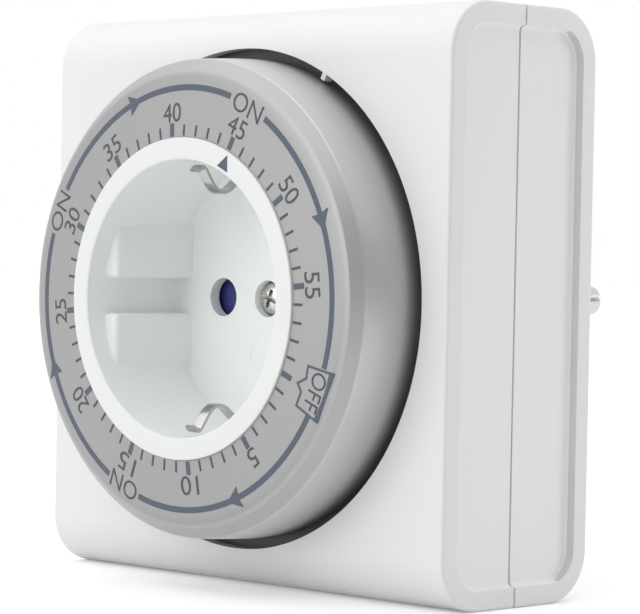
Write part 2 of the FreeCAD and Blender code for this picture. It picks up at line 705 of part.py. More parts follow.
def lead(out, start, path):
    """A flat lead: a leg back from a contact strip's tail, then a strip across to a pin or a grip."""
    end = start + LEAD
    leg = lever_bar(LEAF_TAIL, LEAF_TAIL + LEG_ALONG, out, LEAF, LEVER_DEPTH + LEAF_WIDTH, end)
    path = path + [lever_point(LEAF_TAIL + LEG_ALONG / 2, out + LEAF / 2)]
    return leg.fuse(prism(strip_path(path, LEAD_WIDTH), start, end)).removeSplitter()


def live_in():
    """The lead from the plug's live pin to the fixed contact."""
    turn = HALF_WIDTH - LEAD_MARGIN
    return lead(FIXED_OUT, PIN_DEPTH - LEAD, [(PIN_X, 0.0), (turn, 0.0), (turn + LEAD_SWAY, LEAD_TURN_Z)])


def live_out():
    """The lead from the sprung contact to the live grip."""
    return lead(LEAF_OUT, GRIP_BACK, [(PIN_X, 0.0), LIVE_OUT_BEND])


def shutter():
    """The turning shutter: a disc with two wings that stand behind the contact holes."""
    start = FLOOR_BACK + SHUTTER_GAP
    end = start + SHUTTER
    reach = SHUTTER_R / math.cos(math.radians(WING_ANGLE))
    plate = rod(SHUTTER_DISC_R, start, end)
    for side in (0.0, 180.0):
        corners = [(0.0, 0.0), polar(reach, side - WING_ANGLE), polar(reach, side + WING_ANGLE)]
        wedge = prism(corners, start, end)
        plate = plate.fuse(wedge.common(rod(SHUTTER_R, start, end)))
    return plate.cut(rod(PIVOT_HUB_R + FIT, start, end)).removeSplitter()


def shutter_spring():
    """The folded strip that draws the shutter back over the holes."""
    start = FLOOR_BACK + SHUTTER_GAP
    return prism(strip_path(RETURN_PATH, RETURN_WIRE), start, start + SHUTTER)


def centre_screw():
    """The screw in the cup's floor, through the frame into the rear shell's hub."""
    start = FLOOR_DEPTH + RECESS_DEPTH
    shank = rod(SCREW_R, start + SCREW_HEAD, BACK_INSIDE - PILOT_END)
    return rod(CENTRE_HEAD_R, start, start + SCREW_HEAD).fuse(shank).removeSplitter()


def clip_profile(side):
    """One arm of the earth bow in side view: a straight root, the inward crest and the lifted tip."""
    back = CLIP_BACK - STRIP / 2
    path = [(FRAME_BACK + STRIP / 2, back), (CLIP_STRAIGHT - CUP_RISE, back)]
    for behind_rim, set_in in CLIP_INNER_BENDS + CLIP_OUTER_BENDS:
        path.append((behind_rim - CUP_RISE, MOUTH_R - set_in))
    return [(depth, side * z) for depth, z in strip_path(path, STRIP)]


def earth_bow():
    """The sprung bow whose two arms touch the plug's earth strips in the cup, with an eye for the screw."""
    half = CLIP_WIDTH / 2
    bow = block(-half, half, FRAME_BACK, FRAME_BACK + STRIP, -CLIP_BACK, CLIP_BACK)
    bow = bow.fuse(rod(BOW_EYE_R, FRAME_BACK, FRAME_BACK + STRIP))
    for side in (-1, 1):
        bow = bow.fuse(side_prism(clip_profile(side), -half, half))
    return bow.cut(rod(SCREW_R + FIT, FRAME_BACK, FRAME_BACK + STRIP)).removeSplitter()


def plug_earth():
    """The bow on the plug side: strips in the plug's channels, and a tab to the front bow."""
    half = STRIP_WIDTH / 2
    start = BACK_INSIDE - STRIP
    hole = HUB_HALF + LOOSE
    ring = hole + TAB_HALF
    end = PLUG_END - CHANNEL_END - CHANNEL_SPARE
    bow = block(-half, half, start, BACK_INSIDE, -PLUG_EARTH_Z, PLUG_EARTH_Z)
    bow = bow.fuse(block(-ring, ring, start, BACK_INSIDE, -ring, ring))
    bow = bow.cut(block(-hole, hole, start, BACK_INSIDE, -hole, hole))
    for side in (-1, 1):
        outer = side * PLUG_EARTH_Z
        bow = bow.fuse(block(-half, half, start, end, outer, outer - side * STRIP))
    tab = block(-TAB_HALF, TAB_HALF, FRAME_BACK + STRIP, BACK_INSIDE, TAB_Z, TAB_Z + STRIP)
    return bow.fuse(tab).removeSplitter()


def pin_grip(side):
    """A folded spring strip that grips one pin of the plug in front from above and below."""
    back = GRIP_BACK - STRIP / 2
    spread = GRIP_Z + GRIP_SPREAD
    mouth = GRIP_Z + GRIP_FLARE
    upper = [(GRIP_START, mouth), (GRIP_THROAT, GRIP_Z), (back - GRIP_FOLD, spread), (back, spread)]
    path = upper + [(depth, -z) for depth, z in upper[::-1]]
    middle = side * PIN_X
    return side_prism(strip_path(path, STRIP), middle - GRIP_WIDTH / 2, middle + GRIP_WIDTH / 2)


def neutral_grip():
    """The grip that is joined to the plug's neutral pin by a short strip."""
    half = GRIP_WIDTH / 2
    link = block(-PIN_X - half, -PIN_X + half, GRIP_BACK - STRIP, PIN_DEPTH, -STRIP / 2, STRIP / 2)
    return pin_grip(-1).fuse(link).removeSplitter()


def live_grip():
    """The grip that the switch feeds."""
    return pin_grip(1)


def plug_pin(side):
    """A plug pin with a collar inside the case, a thinner shank in the plug and a drawn-in tip."""
    end = PLUG_END + PIN_LENGTH
    return turned([
        (0.0, PIN_DEPTH),
        (PIN_COLLAR_R, PIN_DEPTH),
        (PIN_COLLAR_R, BACK_INSIDE),
        (PIN_SHANK_R, BACK_INSIDE),
        (PIN_SHANK_R, PLUG_END),
        (PIN_R, PLUG_END),
        (PIN_R, end - PIN_TIP),
        (PIN_TIP_R, end),
        (0.0, end),
    ], (side * PIN_X, 0.0))


def live_pin():
    """The live pin of the plug."""
    return plug_pin(1)


def neutral_pin():
    """The neutral pin of the plug."""
    return plug_pin(-1)


def output_arbor():
    """The arbor whose front pinion turns the dial and whose keeper holds the clutch spring."""
    front = pinion(OUTPUT_TEETH, DIAL_MODULE, OUTPUT_DEPTH, FRAME_DEPTH - LOOSE, OUTPUT, OUTPUT_ANGLE + 180)
    shaft = rod(ARBOR_R, OUTPUT_DEPTH, MOTOR_DEPTH, OUTPUT)
    keeper = rod(KEEPER_R, KEEPER_DEPTH, KEEPER_DEPTH + KEEPER, OUTPUT)
    return front.fuse([shaft, keeper]).removeSplitter()


def clutch_wheel():
    """The wheel that slips on the output arbor when the dial is set by hand."""
    end = CLUTCH_DEPTH + WHEEL
    body = wheel(CLUTCH_TEETH, FINE_MODULE, CLUTCH_DEPTH, end, OUTPUT, MOTOR_ANGLE)
    return body.cut(rod(JOURNAL_R, CLUTCH_DEPTH, end, OUTPUT))


def clutch_spring():
    """The three-armed washer that presses the clutch wheel."""
    end = SPRING_DEPTH + CLUTCH_SPRING
    star = rod(KEEPER_R, SPRING_DEPTH, end, OUTPUT)
    for i in range(SPRING_ARMS):
        middle = i * 360.0 / SPRING_ARMS
        root = [moved(OUTPUT, KEEPER_R, middle + turn) for turn in (SPRING_ROOT_ANGLE, -SPRING_ROOT_ANGLE)]
        tip = [moved(OUTPUT, SPRING_REACH, middle + turn) for turn in (-SPRING_TIP_ANGLE, SPRING_TIP_ANGLE)]
        star = star.fuse(prism(root + tip, SPRING_DEPTH, end))
    return star.cut(rod(JOURNAL_R, SPRING_DEPTH, end, OUTPUT)).removeSplitter()


def motor_pinion():
    """The motor's output shaft with its pinion."""
    start = CLUTCH_DEPTH - LOOSE
    teeth = pinion(MOTOR_TEETH, FINE_MODULE, start, PLATE_DEPTH - LOOSE, MOTOR_SHAFT, MOTOR_ANGLE + 180)
    shaft = rod(ARBOR_R, start, MOTOR_DEPTH + MOTOR_JOURNAL, MOTOR_SHAFT)
    return teeth.fuse(shaft).removeSplitter()


def motor():
    """The synchronous gear motor: a round can on a plate that also carries the output arbor's rear end."""
    corner = PLATE_CORNER
    plate = prism([
        (PLATE_LEFT + corner, PLATE_LOW), (MOTOR[0] + MOTOR_R, PLATE_LOW), (PLATE_RIGHT, OUTPUT[1] - corner),
        (PLATE_RIGHT, PLATE_HIGH), (PLATE_LEFT + corner, PLATE_HIGH),
        (PLATE_LEFT, PLATE_HIGH - corner), (PLATE_LEFT, PLATE_LOW + corner),
    ], PLATE_DEPTH, MOTOR_DEPTH)
    can = rod(MOTOR_R, MOTOR_DEPTH, MOTOR_DEPTH + MOTOR_HEIGHT, MOTOR)
    body = plate.fuse(can).cut(rod(JOURNAL_R, PLATE_DEPTH, MOTOR_DEPTH, OUTPUT))
    return body.cut(rod(JOURNAL_R, PLATE_DEPTH, MOTOR_DEPTH + MOTOR_JOURNAL + LOOSE, MOTOR_SHAFT))


def case_screws():
    """The two screws, put in from behind, that hold the case's halves together."""
    pieces = []
    for point in CASE_SCREWS:
        head = rod(SCREW_HEAD_R, SCREW_SEAT, SCREW_SEAT + SCREW_HEAD, point)
        pieces.append(head.fuse(rod(SCREW_R, SCREW_TIP_DEPTH, SCREW_SEAT, point)).removeSplitter())
    return Part.makeCompound(pieces)


NODES = [
    front_shell, rear_shell, case_screws,
    socket_insert, centre_screw, shutter, shutter_spring, earth_bow,
    plug_earth, live_pin, neutral_pin, live_grip, neutral_grip, live_in, live_out,
    dial_ring, gear_ring,
    movement_frame, output_arbor, clutch_wheel, clutch_spring, motor_pinion, motor,
    switch_lever, switch_pivot, switch_base, contact_leaf, fixed_contact,
]


def main():
    os.makedirs("parts", exist_ok=True)
    for make in NODES:
        shape = make()
        if not shape.isValid():
            raise ValueError(make.__name__ + " is not a valid shape")
        shape.exportStep("parts/" + make.__name__ + ".step")
        print(make.__name__, "solids", len(shape.Solids), "volume", round(shape.Volume, 2))


main()
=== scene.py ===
import json
import math

import bmesh
import bpy
from mathutils import Matrix, Vector

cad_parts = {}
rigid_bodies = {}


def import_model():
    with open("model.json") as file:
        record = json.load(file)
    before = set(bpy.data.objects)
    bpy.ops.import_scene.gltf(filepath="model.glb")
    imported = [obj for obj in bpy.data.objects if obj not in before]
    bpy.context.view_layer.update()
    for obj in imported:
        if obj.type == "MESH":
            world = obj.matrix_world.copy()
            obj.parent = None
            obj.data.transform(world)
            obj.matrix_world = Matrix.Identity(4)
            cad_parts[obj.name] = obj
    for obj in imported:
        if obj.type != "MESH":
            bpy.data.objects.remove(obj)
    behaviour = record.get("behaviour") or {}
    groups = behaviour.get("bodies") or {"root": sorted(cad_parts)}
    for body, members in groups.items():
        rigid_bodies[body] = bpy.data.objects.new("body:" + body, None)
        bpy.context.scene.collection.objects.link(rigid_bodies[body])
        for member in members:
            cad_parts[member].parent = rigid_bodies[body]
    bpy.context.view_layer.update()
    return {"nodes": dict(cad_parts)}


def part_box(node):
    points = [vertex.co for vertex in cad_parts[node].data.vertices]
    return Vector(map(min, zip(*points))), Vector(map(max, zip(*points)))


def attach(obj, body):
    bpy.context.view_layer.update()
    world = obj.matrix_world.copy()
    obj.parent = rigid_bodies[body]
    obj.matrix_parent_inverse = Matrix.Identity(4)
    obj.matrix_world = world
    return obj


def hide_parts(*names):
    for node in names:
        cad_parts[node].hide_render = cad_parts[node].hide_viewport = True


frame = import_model()

bl_info = {
    "name": "Plug-in timer",
    "version": (1, 0, 0),
    "blender": (4, 5, 0),
    "location": "3D View > Sidebar > Timer",
    "description": "Builds a plug-in countdown timer round its packed parts",
    "category": "Add Mesh",
}

# Everything is written in millimetres: X across, depth behind the case's front face, Z up.
# Angles round the dial are clockwise from the top, as seen from the front.
MM = 0.001
CASE_LOW, CASE_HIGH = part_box("front_shell")
FRONT_Y = CASE_LOW[1] / MM
CASE_X = CASE_HIGH[0] / MM
CASE_Z = CASE_HIGH[2] / MM
SEAM = CASE_HIGH[1] / MM - FRONT_Y
PLUG_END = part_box("rear_shell")[1][1] / MM - FRONT_Y
CUP_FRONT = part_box("socket_insert")[0][1] / MM - FRONT_Y
DIAL_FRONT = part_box("dial_ring")[0][1] / MM - FRONT_Y

# Case
CASE_BACK = 30.5
WALL = 2.0
SIDE_WALL = 2.6
SEAM_GAP = 0.36
SEAM_LIP = 0.75
PANEL_DROP = 1.1
PANEL_FILLET = 0.8
NIB_WIDTH = 0.9
NIB_ANGLE = 27.0
HOLE_R = 36.3

# Plug, pins and screws; a screw's head is its radius and the depths of its top and its underside
PLUG_R = 18.6
PLUG_EDGE = 0.9
FLAT_X = 16.0
FLAT_SPAN = (2.3, 10.6)
CHANNEL_HALF = 2.8
CHANNEL_START = 17.0
PLUG_OUTSIDE = 20.0
PIN_X = 9.5
PIN_R = 2.4
PIN_HOLE_R = 2.5
PIN_LENGTH = 19.0
PIN_TIP = 0.9
COLLAR_R = 3.5
COLLAR = (27.5, 28.5)
SCREW_PLACES = [(36.2, 37.8), (-36.2, -37.8)]
BOSS_HALF = 3.6
SINK_R = 2.85
SINK_DEPTH = 3.6
CUP_HEAD = (2.45, 6.0, 8.0)
CASE_HEAD = (2.6, 28.5, 26.9)
SHANK_R = 1.5
SHANK_END = 27.0

# Dial: its shoulder as radii and depths behind its front, its print as radii and clockwise angles
BORE_R = 23.04
FACE_R = 31.0
FACE_SLOPE = 0.066
FACE_THICK = 2.2
SHOULDER = [(31.9, 0.70), (32.75, 1.13), (32.85, 1.21), (34.18, 2.60), (34.27, 2.73),
            (34.32, 2.95), (34.50, 5.6), (34.65, 8.4)]
SKIRT_R = 34.78
SKIRT_INSIDE = 33.2
SKIRT_END = 2.3
FOOT_R = 37.0
FOOT = (2.32, 3.4)
PRINT_EDGE = (31.9, 32.5)
# Painted highlight and painted shade on the skirt: each tone comes in between two depths and is a share of
# the skirt's colour; the lighter first one is a painted highlight line along the shoulder's crease, the
# two darker ones are painted shade towards the case
SKIRT_PAINTED_LIGHT_AND_SHADE = [(DIAL_FRONT + 2.5, DIAL_FRONT + 2.75, 1.08), (-8.0, -2.0, 0.9), (-2.2, 1.4, 0.4)]
INK = 0.02
OFF_ANGLE = 114.42
MINUTE = 6.0
TICK_START = 23.2
FIGURE_R = 26.6
RING = (29.66, 30.54)
RING_SPANS = [(32.6, 106.9), (120.6, 196.6), (210.2, 287.4), (301.0, 378.1)]
BAND_STEP = 1.5
ARROW_TIPS = [160.2, 251.3, 341.6, 430.6]
ON_PLACES = [25.35, 294.2, 203.4]
OFF_BOX = [(27.1, 107.7), (32.1, 106.9), (32.0, 120.6), (27.4, 120.8), (27.25, 116.2),
           (26.1, 114.35), (27.35, 111.6)]
BOX_LINE = 0.36

# Socket cup
CUP_FLOOR = 5.8
FLOOR_BACK = 7.6
CUP_END = 9.6
MOUTH_R = 19.8
RIM_R = 23.0
FOOT_RING = (19.0, 22.0)
CONTACT_R = 2.85
FLOOR_CUT = (4.0, 9.0)
LUG_X = 16.6
LUG_HALF = 20.5
GROOVE_HALF = 2.6

# Stage; the camera's focal length is in pixels of a picture as wide as this
CARD_X = 480
PICTURE_WIDTH = 640.0
FOCAL_PIXELS = 2891.13
SENSOR = 36.0
CAMERA_TARGET = (16.69, FRONT_Y, -0.71)
CAMERA_AWAY = 408.03
CAMERA_AROUND = 45.0
CAMERA_ABOVE = 1.25
CAMERA_ROLL = 1.11


# Working in the scene

def to_metres(x, depth, z):
    """The point of the scene at a distance across, behind the front face and up."""
    return Vector((x * MM, (depth + FRONT_Y) * MM, z * MM))


def to_mm(point):
    """Across, behind the front face and up, in millimetres, of a point of the scene."""
    return Vector((point.x / MM, point.y / MM - FRONT_Y, point.z / MM))


def on_dial(radius, degrees):
    """Across and up of a point at a clockwise angle from the top."""
    turn = math.radians(degrees)
    return radius * math.sin(turn), radius * math.cos(turn)


def face_depth(radius):
    """The depth of the dial's slightly crowned face at a radius."""
    return DIAL_FRONT + FACE_SLOPE * (radius - BORE_R)


def on_face(radius, degrees, rise=INK):
    """A point a little in front of the dial's face, at a radius and a clockwise angle."""
    x, z = on_dial(radius, degrees)
    return x, face_depth(radius) - rise, z


def clear_choice():
    """Leaves nothing selected, as before a new primitive is added."""
    for each in bpy.context.view_layer.objects:
        each.select_set(False)


def choose(*pieces):
    """Selects these pieces and nothing else."""
    clear_choice()
    for each in pieces:
        each.select_set(True)
    bpy.context.view_layer.objects.active = pieces[0]


def settle(piece, name):
    """Names a piece and puts its place, turn and scale into its mesh."""
    piece.name = name
    choose(piece)
    bpy.ops.object.transform_apply(location=True, rotation=True, scale=True)
    piece.data.name = name
    return piece


def block(name, x0, x1, start, end, z0, z1):
    """A box between limits across, in depth and in height."""
    clear_choice()
    centre = to_metres((x0 + x1) / 2, (start + end) / 2, (z0 + z1) / 2)
    size = (abs(x1 - x0) * MM, abs(end - start) * MM, abs(z1 - z0) * MM)
    bpy.ops.mesh.primitive_cube_add(size=1, location=centre, scale=size)
    return settle(bpy.context.object, name)


def rod(name, radius, start, end, x=0.0, z=0.0, sides=64):
    """A round bar along the depth."""
    clear_choice()
    bpy.ops.mesh.primitive_cylinder_add(
        vertices=sides, radius=radius * MM, depth=(end - start) * MM,
        location=to_metres(x, (start + end) / 2, z), rotation=(math.pi / 2, 0, 0))
    return settle(bpy.context.object, name)


def edit(piece, kind='FACE'):
    """Opens a piece in edit mode with nothing selected."""
    choose(piece)
    bpy.ops.object.mode_set(mode='EDIT')
    bpy.ops.mesh.select_mode(type=kind)
    bpy.ops.mesh.select_all(action='DESELECT')


def select_all():
    """Selects all of the mesh in edit mode."""
    bpy.ops.mesh.select_all(action='SELECT')


def done():
    """Leaves edit mode."""
    bpy.ops.object.mode_set(mode='OBJECT')


def middle(element):
    """The middle of a face or an edge, in millimetres."""
    if isinstance(element, bmesh.types.BMEdge):
        return to_mm((element.verts[0].co + element.verts[1].co) / 2)
    return to_mm(element.calc_center_median())


def pick(piece, kind, test):
    """Selects, in edit mode, the faces or edges that pass the test."""
    bpy.ops.mesh.select_mode(type=kind)
    bpy.ops.mesh.select_all(action='DESELECT')
    mesh = bmesh.from_edit_mesh(piece.data)
    elements = mesh.faces if kind == 'FACE' else mesh.edges
    found = 0
    for element in elements:
        if test(element):
            element.select = True
            found += 1
    mesh.select_flush_mode()
    bmesh.update_edit_mesh(piece.data)
    if not found:
        raise RuntimeError("nothing was found to select on " + piece.name)


def drawn(name, points):
    """A line through points, open in edit mode with all of it selected."""
    clear_choice()
    bpy.ops.mesh.primitive_plane_add(size=MM, location=(0, 0, 0))
    piece = bpy.context.object
    piece.name = name
    piece.data.name = name
    edit(piece, 'VERT')
    select_all()
    bpy.ops.mesh.merge(type='CENTER')
    bpy.ops.transform.translate(value=to_metres(*points[0]))
    for before, after in zip(points, points[1:]):
        step = to_metres(*after) - to_metres(*before)
        bpy.ops.mesh.extrude_vertices_move(TRANSFORM_OT_translate={"value": step})
    select_all()
    return piece


def pull(depth, across=0.0):
    """Extrudes what is selected towards the back, or across."""
    bpy.ops.mesh.extrude_region_move(
        TRANSFORM_OT_translate={"value": (across * MM, depth * MM, 0)})


def close_mesh():
    """Merges doubles, turns all faces outwards and leaves edit mode."""
    select_all()
    bpy.ops.mesh.remove_doubles(threshold=0.001 * MM)
    bpy.ops.mesh.normals_make_consistent(inside=False)
    done()


def arc(radius, depth, size, first, last, steps):
    """Points of radius and depth round a centre; 0 degrees is forwards and 90 outwards."""
    turns = [math.radians(first + (last - first) * step / steps) for step in range(steps + 1)]
    return [(radius + size * math.sin(turn), depth - size * math.cos(turn)) for turn in turns]


def turned(name, outline, steps, x=0.0, z=0.0):
    """A lathe form about a line along the depth, from an outline of radius and depth."""
    piece = drawn(name, [(x + radius, depth, z) for radius, depth in outline])
    bpy.ops.mesh.spin(steps=steps, angle=2 * math.pi, center=to_metres(x, 0, z), axis=(0, 1, 0))
    close_mesh()
    return piece


def slab(name, points, depth):
    """A flat outline, filled and given a thickness towards the back."""
    piece = drawn(name, points)
    bpy.ops.mesh.edge_face_add()
    pull(depth)
    close_mesh()
    return piece


def patch(name, outline, rise=INK):
    """A printed patch on the dial's face, from an outline of radius and clockwise angle."""
    return slab(name, [on_face(radius, angle, rise) for radius, angle in outline], rise + INK)


def band(name, radii, first, last):
    """A printed band round the dial between two radii and two clockwise angles."""
    piece = drawn(name, [on_face(radius, first) for radius in radii])
    steps = max(2, round((last - first) / BAND_STEP))
    bpy.ops.mesh.spin(steps=steps, angle=math.radians(last - first),
                      center=to_metres(0, 0, 0), axis=(0, -1, 0))
    select_all()
    pull(2 * INK)
    close_mesh()
    return piece


def apply_modifier(piece, modifier):
    """Puts a modifier's result into the piece's mesh."""
    choose(piece)
    bpy.ops.object.modifier_apply(modifier=modifier.name)


def combine(piece, other, operation='DIFFERENCE'):
    """Cuts another form out of a piece, or adds it, and removes the other form."""
    modifier = piece.modifiers.new("shape", 'BOOLEAN')
    modifier.operation = operation
    modifier.solver = 'EXACT'
    modifier.object = other
    apply_modifier(piece, modifier)
    bpy.data.objects.remove(other)
    return piece


def soften(piece, width, segments=2):
    """Rounds all the sharp edges of a piece."""
    modifier = piece.modifiers.new("edges", 'BEVEL')
    modifier.width = width * MM
    modifier.segments = segments
    modifier.limit_method = 'ANGLE'
    modifier.angle_limit = math.radians(35.0)
    modifier.miter_outer = 'MITER_ARC'
    apply_modifier(piece, modifier)


def smooth(piece, angle=40.0):
    """Shades a piece smooth, with its flat faces kept flat."""
    choose(piece)
    bpy.ops.object.shade_smooth_by_angle(angle=math.radians(angle))
    modifier = piece.modifiers.new("normals", 'WEIGHTED_NORMAL')
    modifier.keep_sharp = True
    apply_modifier(piece, modifier)


def merge_pieces(name, pieces):
    """Joins pieces into one."""
    choose(*pieces)
    bpy.ops.object.join()
    piece = bpy.context.object
    piece.name = name
    piece.data.name = name
    return piece


def copy_of(piece, name, across):
    """A copy with a mesh of its own, moved across."""
    twin = piece.copy()
    twin.data = piece.data.copy()
    bpy.context.collection.objects.link(twin)
    twin.location = (across * MM, 0, 0)
    return settle(twin, name)


def turn_about_axis(piece, degrees, x=0.0, z=0.0):
    """Turns a piece clockwise, seen from the front, about a line along the depth."""
    centre = to_metres(x, 0, z)
    turn = Matrix.Rotation(math.radians(degrees), 4, 'Y')
    piece.matrix_world = (Matrix.Translation(centre) @ turn @ Matrix.Translation(-centre)
                          @ piece.matrix_world)
    settle(piece, piece.name)


def add_materials(piece, *materials):
    """Gives a piece its materials in order."""
    piece.data.materials.clear()
    for material in materials:
        piece.data.materials.append(material)


def finish(piece, body, material, replaced=()):
    """Gives a piece its finish, the body it moves with and the parts it stands for."""
    if material is not None:
        add_materials(piece, material)
    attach(piece, body)
    if replaced:
        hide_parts(*replaced)


# Shared effects

def new_group(name, inputs, outputs):
    """A shader node group with named number or colour sockets."""
    group = bpy.data.node_groups.new(name, 'ShaderNodeTree')
    for label, kind, default in inputs:
        socket = group.interface.new_socket(name=label, in_out='INPUT', socket_type=kind)
        socket.default_value = default
    for label, kind in outputs:
        group.interface.new_socket(name=label, in_out='OUTPUT', socket_type=kind)
    enter = group.nodes.new('NodeGroupInput')
    leave = group.nodes.new('NodeGroupOutput')
    return group, enter.outputs, leave.inputs


def node(tree, kind, **settings):
    """A node with its properties and its unlinked inputs set."""
    made = tree.nodes.new(kind)
    for key, value in settings.items():
        if hasattr(made, key):
            setattr(made, key, value)
        else:
            made.inputs[key.replace("_", " ")].default_value = value
    return made


def fine_grain():
    """The fine grain of a moulded or sprayed surface: a height and a shade."""
    name = "fine_grain"
    if name in bpy.data.node_groups:
        return bpy.data.node_groups[name]
    group, given, result = new_group(
        name,
        [("Scale", 'NodeSocketFloat', 1500.0), ("Patch Scale", 'NodeSocketFloat', 60.0)],
        [("Height", 'NodeSocketFloat'), ("Shade", 'NodeSocketFloat')])
    link = group.links.new
    place = group.nodes.new('ShaderNodeTexCoord')
    fine = node(group, 'ShaderNodeTexNoise', Detail=3.0, Roughness=0.6)
    link(place.outputs['Object'], fine.inputs['Vector'])
    link(given['Scale'], fine.inputs['Scale'])
    broad = node(group, 'ShaderNodeTexNoise', Detail=2.0, Roughness=0.5)
    link(place.outputs['Object'], broad.inputs['Vector'])
    link(given['Patch Scale'], broad.inputs['Scale'])
    link(fine.outputs['Fac'], result['Height'])
    blend = node(group, 'ShaderNodeMath', operation='ADD')
    half = node(group, 'ShaderNodeMath', operation='MULTIPLY')
    half.inputs[1].default_value = 0.5
    link(fine.outputs['Fac'], blend.inputs[0])
    link(broad.outputs['Fac'], blend.inputs[1])
    link(blend.outputs[0], half.inputs[0])
    link(half.outputs[0], result['Shade'])
    return group


def edge_mask():
    """A mask of the edges and corners of a piece."""
    name = "edge_mask"
    if name in bpy.data.node_groups:
        return bpy.data.node_groups[name]
    group, given, result = new_group(
        name,
        [("Low", 'NodeSocketFloat', 0.5), ("High", 'NodeSocketFloat', 0.6)],
        [("Mask", 'NodeSocketFloat')])
    shape = group.nodes.new('ShaderNodeNewGeometry')
    spread = node(group, 'ShaderNodeMapRange')
    group.links.new(shape.outputs['Pointiness'], spread.inputs['Value'])
    group.links.new(given['Low'], spread.inputs['From Min'])
    group.links.new(given['High'], spread.inputs['From Max'])
    group.links.new(spread.outputs['Result'], result['Mask'])
    return group


# Finishes

def mixed(tree, factor, low, high, blend='MIX'):
    """A colour that goes from one to another; each of the three is a value or a node's output."""
    mix = node(tree, 'ShaderNodeMix', data_type='RGBA', blend_type=blend)
    for label, value in (('Factor', factor), ('A', low), ('B', high)):
        if isinstance(value, bpy.types.NodeSocket):
            tree.links.new(value, mix.inputs[label])
        else:
            mix.inputs[label].default_value = value if label == 'Factor' else (*value, 1.0)
    return mix.outputs['Result']


def ranged(tree, noise, low, high):
    """A number that goes from one to another with a noise."""
    spread = node(tree, 'ShaderNodeMapRange', From_Min=0.3, From_Max=0.7, To_Min=low, To_Max=high)
    tree.links.new(noise, spread.inputs['Value'])
    return spread.outputs['Result']


def eased(tree, value, low, high):
    """A share that rises smoothly from 0 to 1 between two values."""
    spread = node(tree, 'ShaderNodeMapRange', interpolation_type='SMOOTHSTEP',
                  From_Min=low, From_Max=high)
    tree.links.new(value, spread.inputs['Value'])
    return spread.outputs['Result']


def emboss(tree, shader, height, strength, distance):
    """Gives a shader the relief of a height."""
    relief = node(tree, 'ShaderNodeBump', Strength=strength, Distance=distance)
    tree.links.new(height, relief.inputs['Height'])
    tree.links.new(relief.outputs['Normal'], shader.inputs['Normal'])


def new_material(name):
    """A material with its shader, ready for its nodes."""
    material = bpy.data.materials.new(name)
    material.use_nodes = True
    tree = material.node_tree
    return material, tree, tree.nodes['Principled BSDF']


def made_once(name, make, *settings, **more):
    """The material of this name, made the first time that it is asked for."""
    if name in bpy.data.materials:
        return bpy.data.materials[name]
    return make(name, *settings, **more)


def plastic(name, colour, roughness, grain=1500.0, bump=0.02, shade=0.03, specular=0.5):
    """A moulded plastic: slight shade changes, and a fine grain in its gloss and relief."""
    material, tree, shader = new_material(name)
    link = tree.links.new
    surface = node(tree, 'ShaderNodeGroup', node_tree=fine_grain(), Scale=grain)
    tone = surface.outputs['Shade']
    darker = [part * (1.0 - shade) for part in colour]
    link(mixed(tree, tone, darker, colour), shader.inputs['Base Color'])
    link(ranged(tree, tone, roughness - 0.04, roughness + 0.04), shader.inputs['Roughness'])
    emboss(tree, shader, surface.outputs['Height'], bump, 0.1 * MM)
    shader.inputs['Specular IOR Level'].default_value = specular
    return material


def metal(name, colour, roughness, grain, worn, stretch=(1.0, 1.0, 1.0), bump=0.03):
    """A plated or drawn metal: streaks along its drawing direction, and lighter or darker edges; lighter
    edges are wear, darker edges are painted shade.
    """
    material, tree, shader = new_material(name)
    link = tree.links.new
    place = tree.nodes.new('ShaderNodeTexCoord')
    along = node(tree, 'ShaderNodeMapping', Scale=stretch)
    link(place.outputs['Object'], along.inputs['Vector'])
    streak = node(tree, 'ShaderNodeTexNoise', Scale=grain, Detail=4.0)
    link(along.outputs['Vector'], streak.inputs['Vector'])
    tone = streak.outputs['Fac']
    edges = node(tree, 'ShaderNodeGroup', node_tree=edge_mask())
    darker = [part * 0.86 for part in colour]
    edge_wear_and_shade_colour = [max(0.0, min(1.0, part + more)) for part, more in zip(colour, worn)]
    base = mixed(tree, tone, darker, colour)
    link(mixed(tree, edges.outputs['Mask'], base, edge_wear_and_shade_colour), shader.inputs['Base Color'])
    link(ranged(tree, tone, roughness - 0.06, roughness + 0.08), shader.inputs['Roughness'])
    emboss(tree, shader, tone, bump, 0.05 * MM)
    shader.inputs['Metallic'].default_value = 1.0
    return material


def dial_paint(name, face, rim, skirt):
    """The dial's satin silver paint: fine flakes, a lighter rim outside the print, and on the skirt a
    painted highlight line and painted shade darkening it towards the case.
    """
    material, tree, shader = new_material(name)
    link = tree.links.new
    surface = node(tree, 'ShaderNodeGroup', node_tree=fine_grain(), Scale=4000.0)
    shade = surface.outputs['Shade']
    place = tree.nodes.new('ShaderNodeTexCoord')
    parts = tree.nodes.new('ShaderNodeSeparateXYZ')
    link(place.outputs['Object'], parts.inputs['Vector'])
    flat = tree.nodes.new('ShaderNodeCombineXYZ')
    link(parts.outputs['X'], flat.inputs['X'])
    link(parts.outputs['Z'], flat.inputs['Y'])
    radius = node(tree, 'ShaderNodeVectorMath', operation='LENGTH')
    link(flat.outputs['Vector'], radius.inputs[0])
    outside = eased(tree, radius.outputs['Value'], PRINT_EDGE[0] * MM, PRINT_EDGE[1] * MM)
    tone = mixed(tree, outside, face, rim)
    # Painted highlight and painted shade: the skirt's tone changes with depth, lighter at the crease and
    # darker towards the case
    for start, end, share in SKIRT_PAINTED_LIGHT_AND_SHADE:
        behind = eased(tree, parts.outputs['Y'], (FRONT_Y + start) * MM, (FRONT_Y + end) * MM)
        tone = mixed(tree, behind, tone, [share * part for part in skirt])
    flakes = mixed(tree, shade, (0.9, 0.9, 0.9), (1.0, 1.0, 1.0))
    link(mixed(tree, 1.0, tone, flakes, 'MULTIPLY'), shader.inputs['Base Color'])
    link(ranged(tree, shade, 0.38, 0.48), shader.inputs['Roughness'])
    emboss(tree, shader, surface.outputs['Height'], 0.03, 0.05 * MM)
    shader.inputs['Metallic'].default_value = 0.5
    return material


# What a user would change

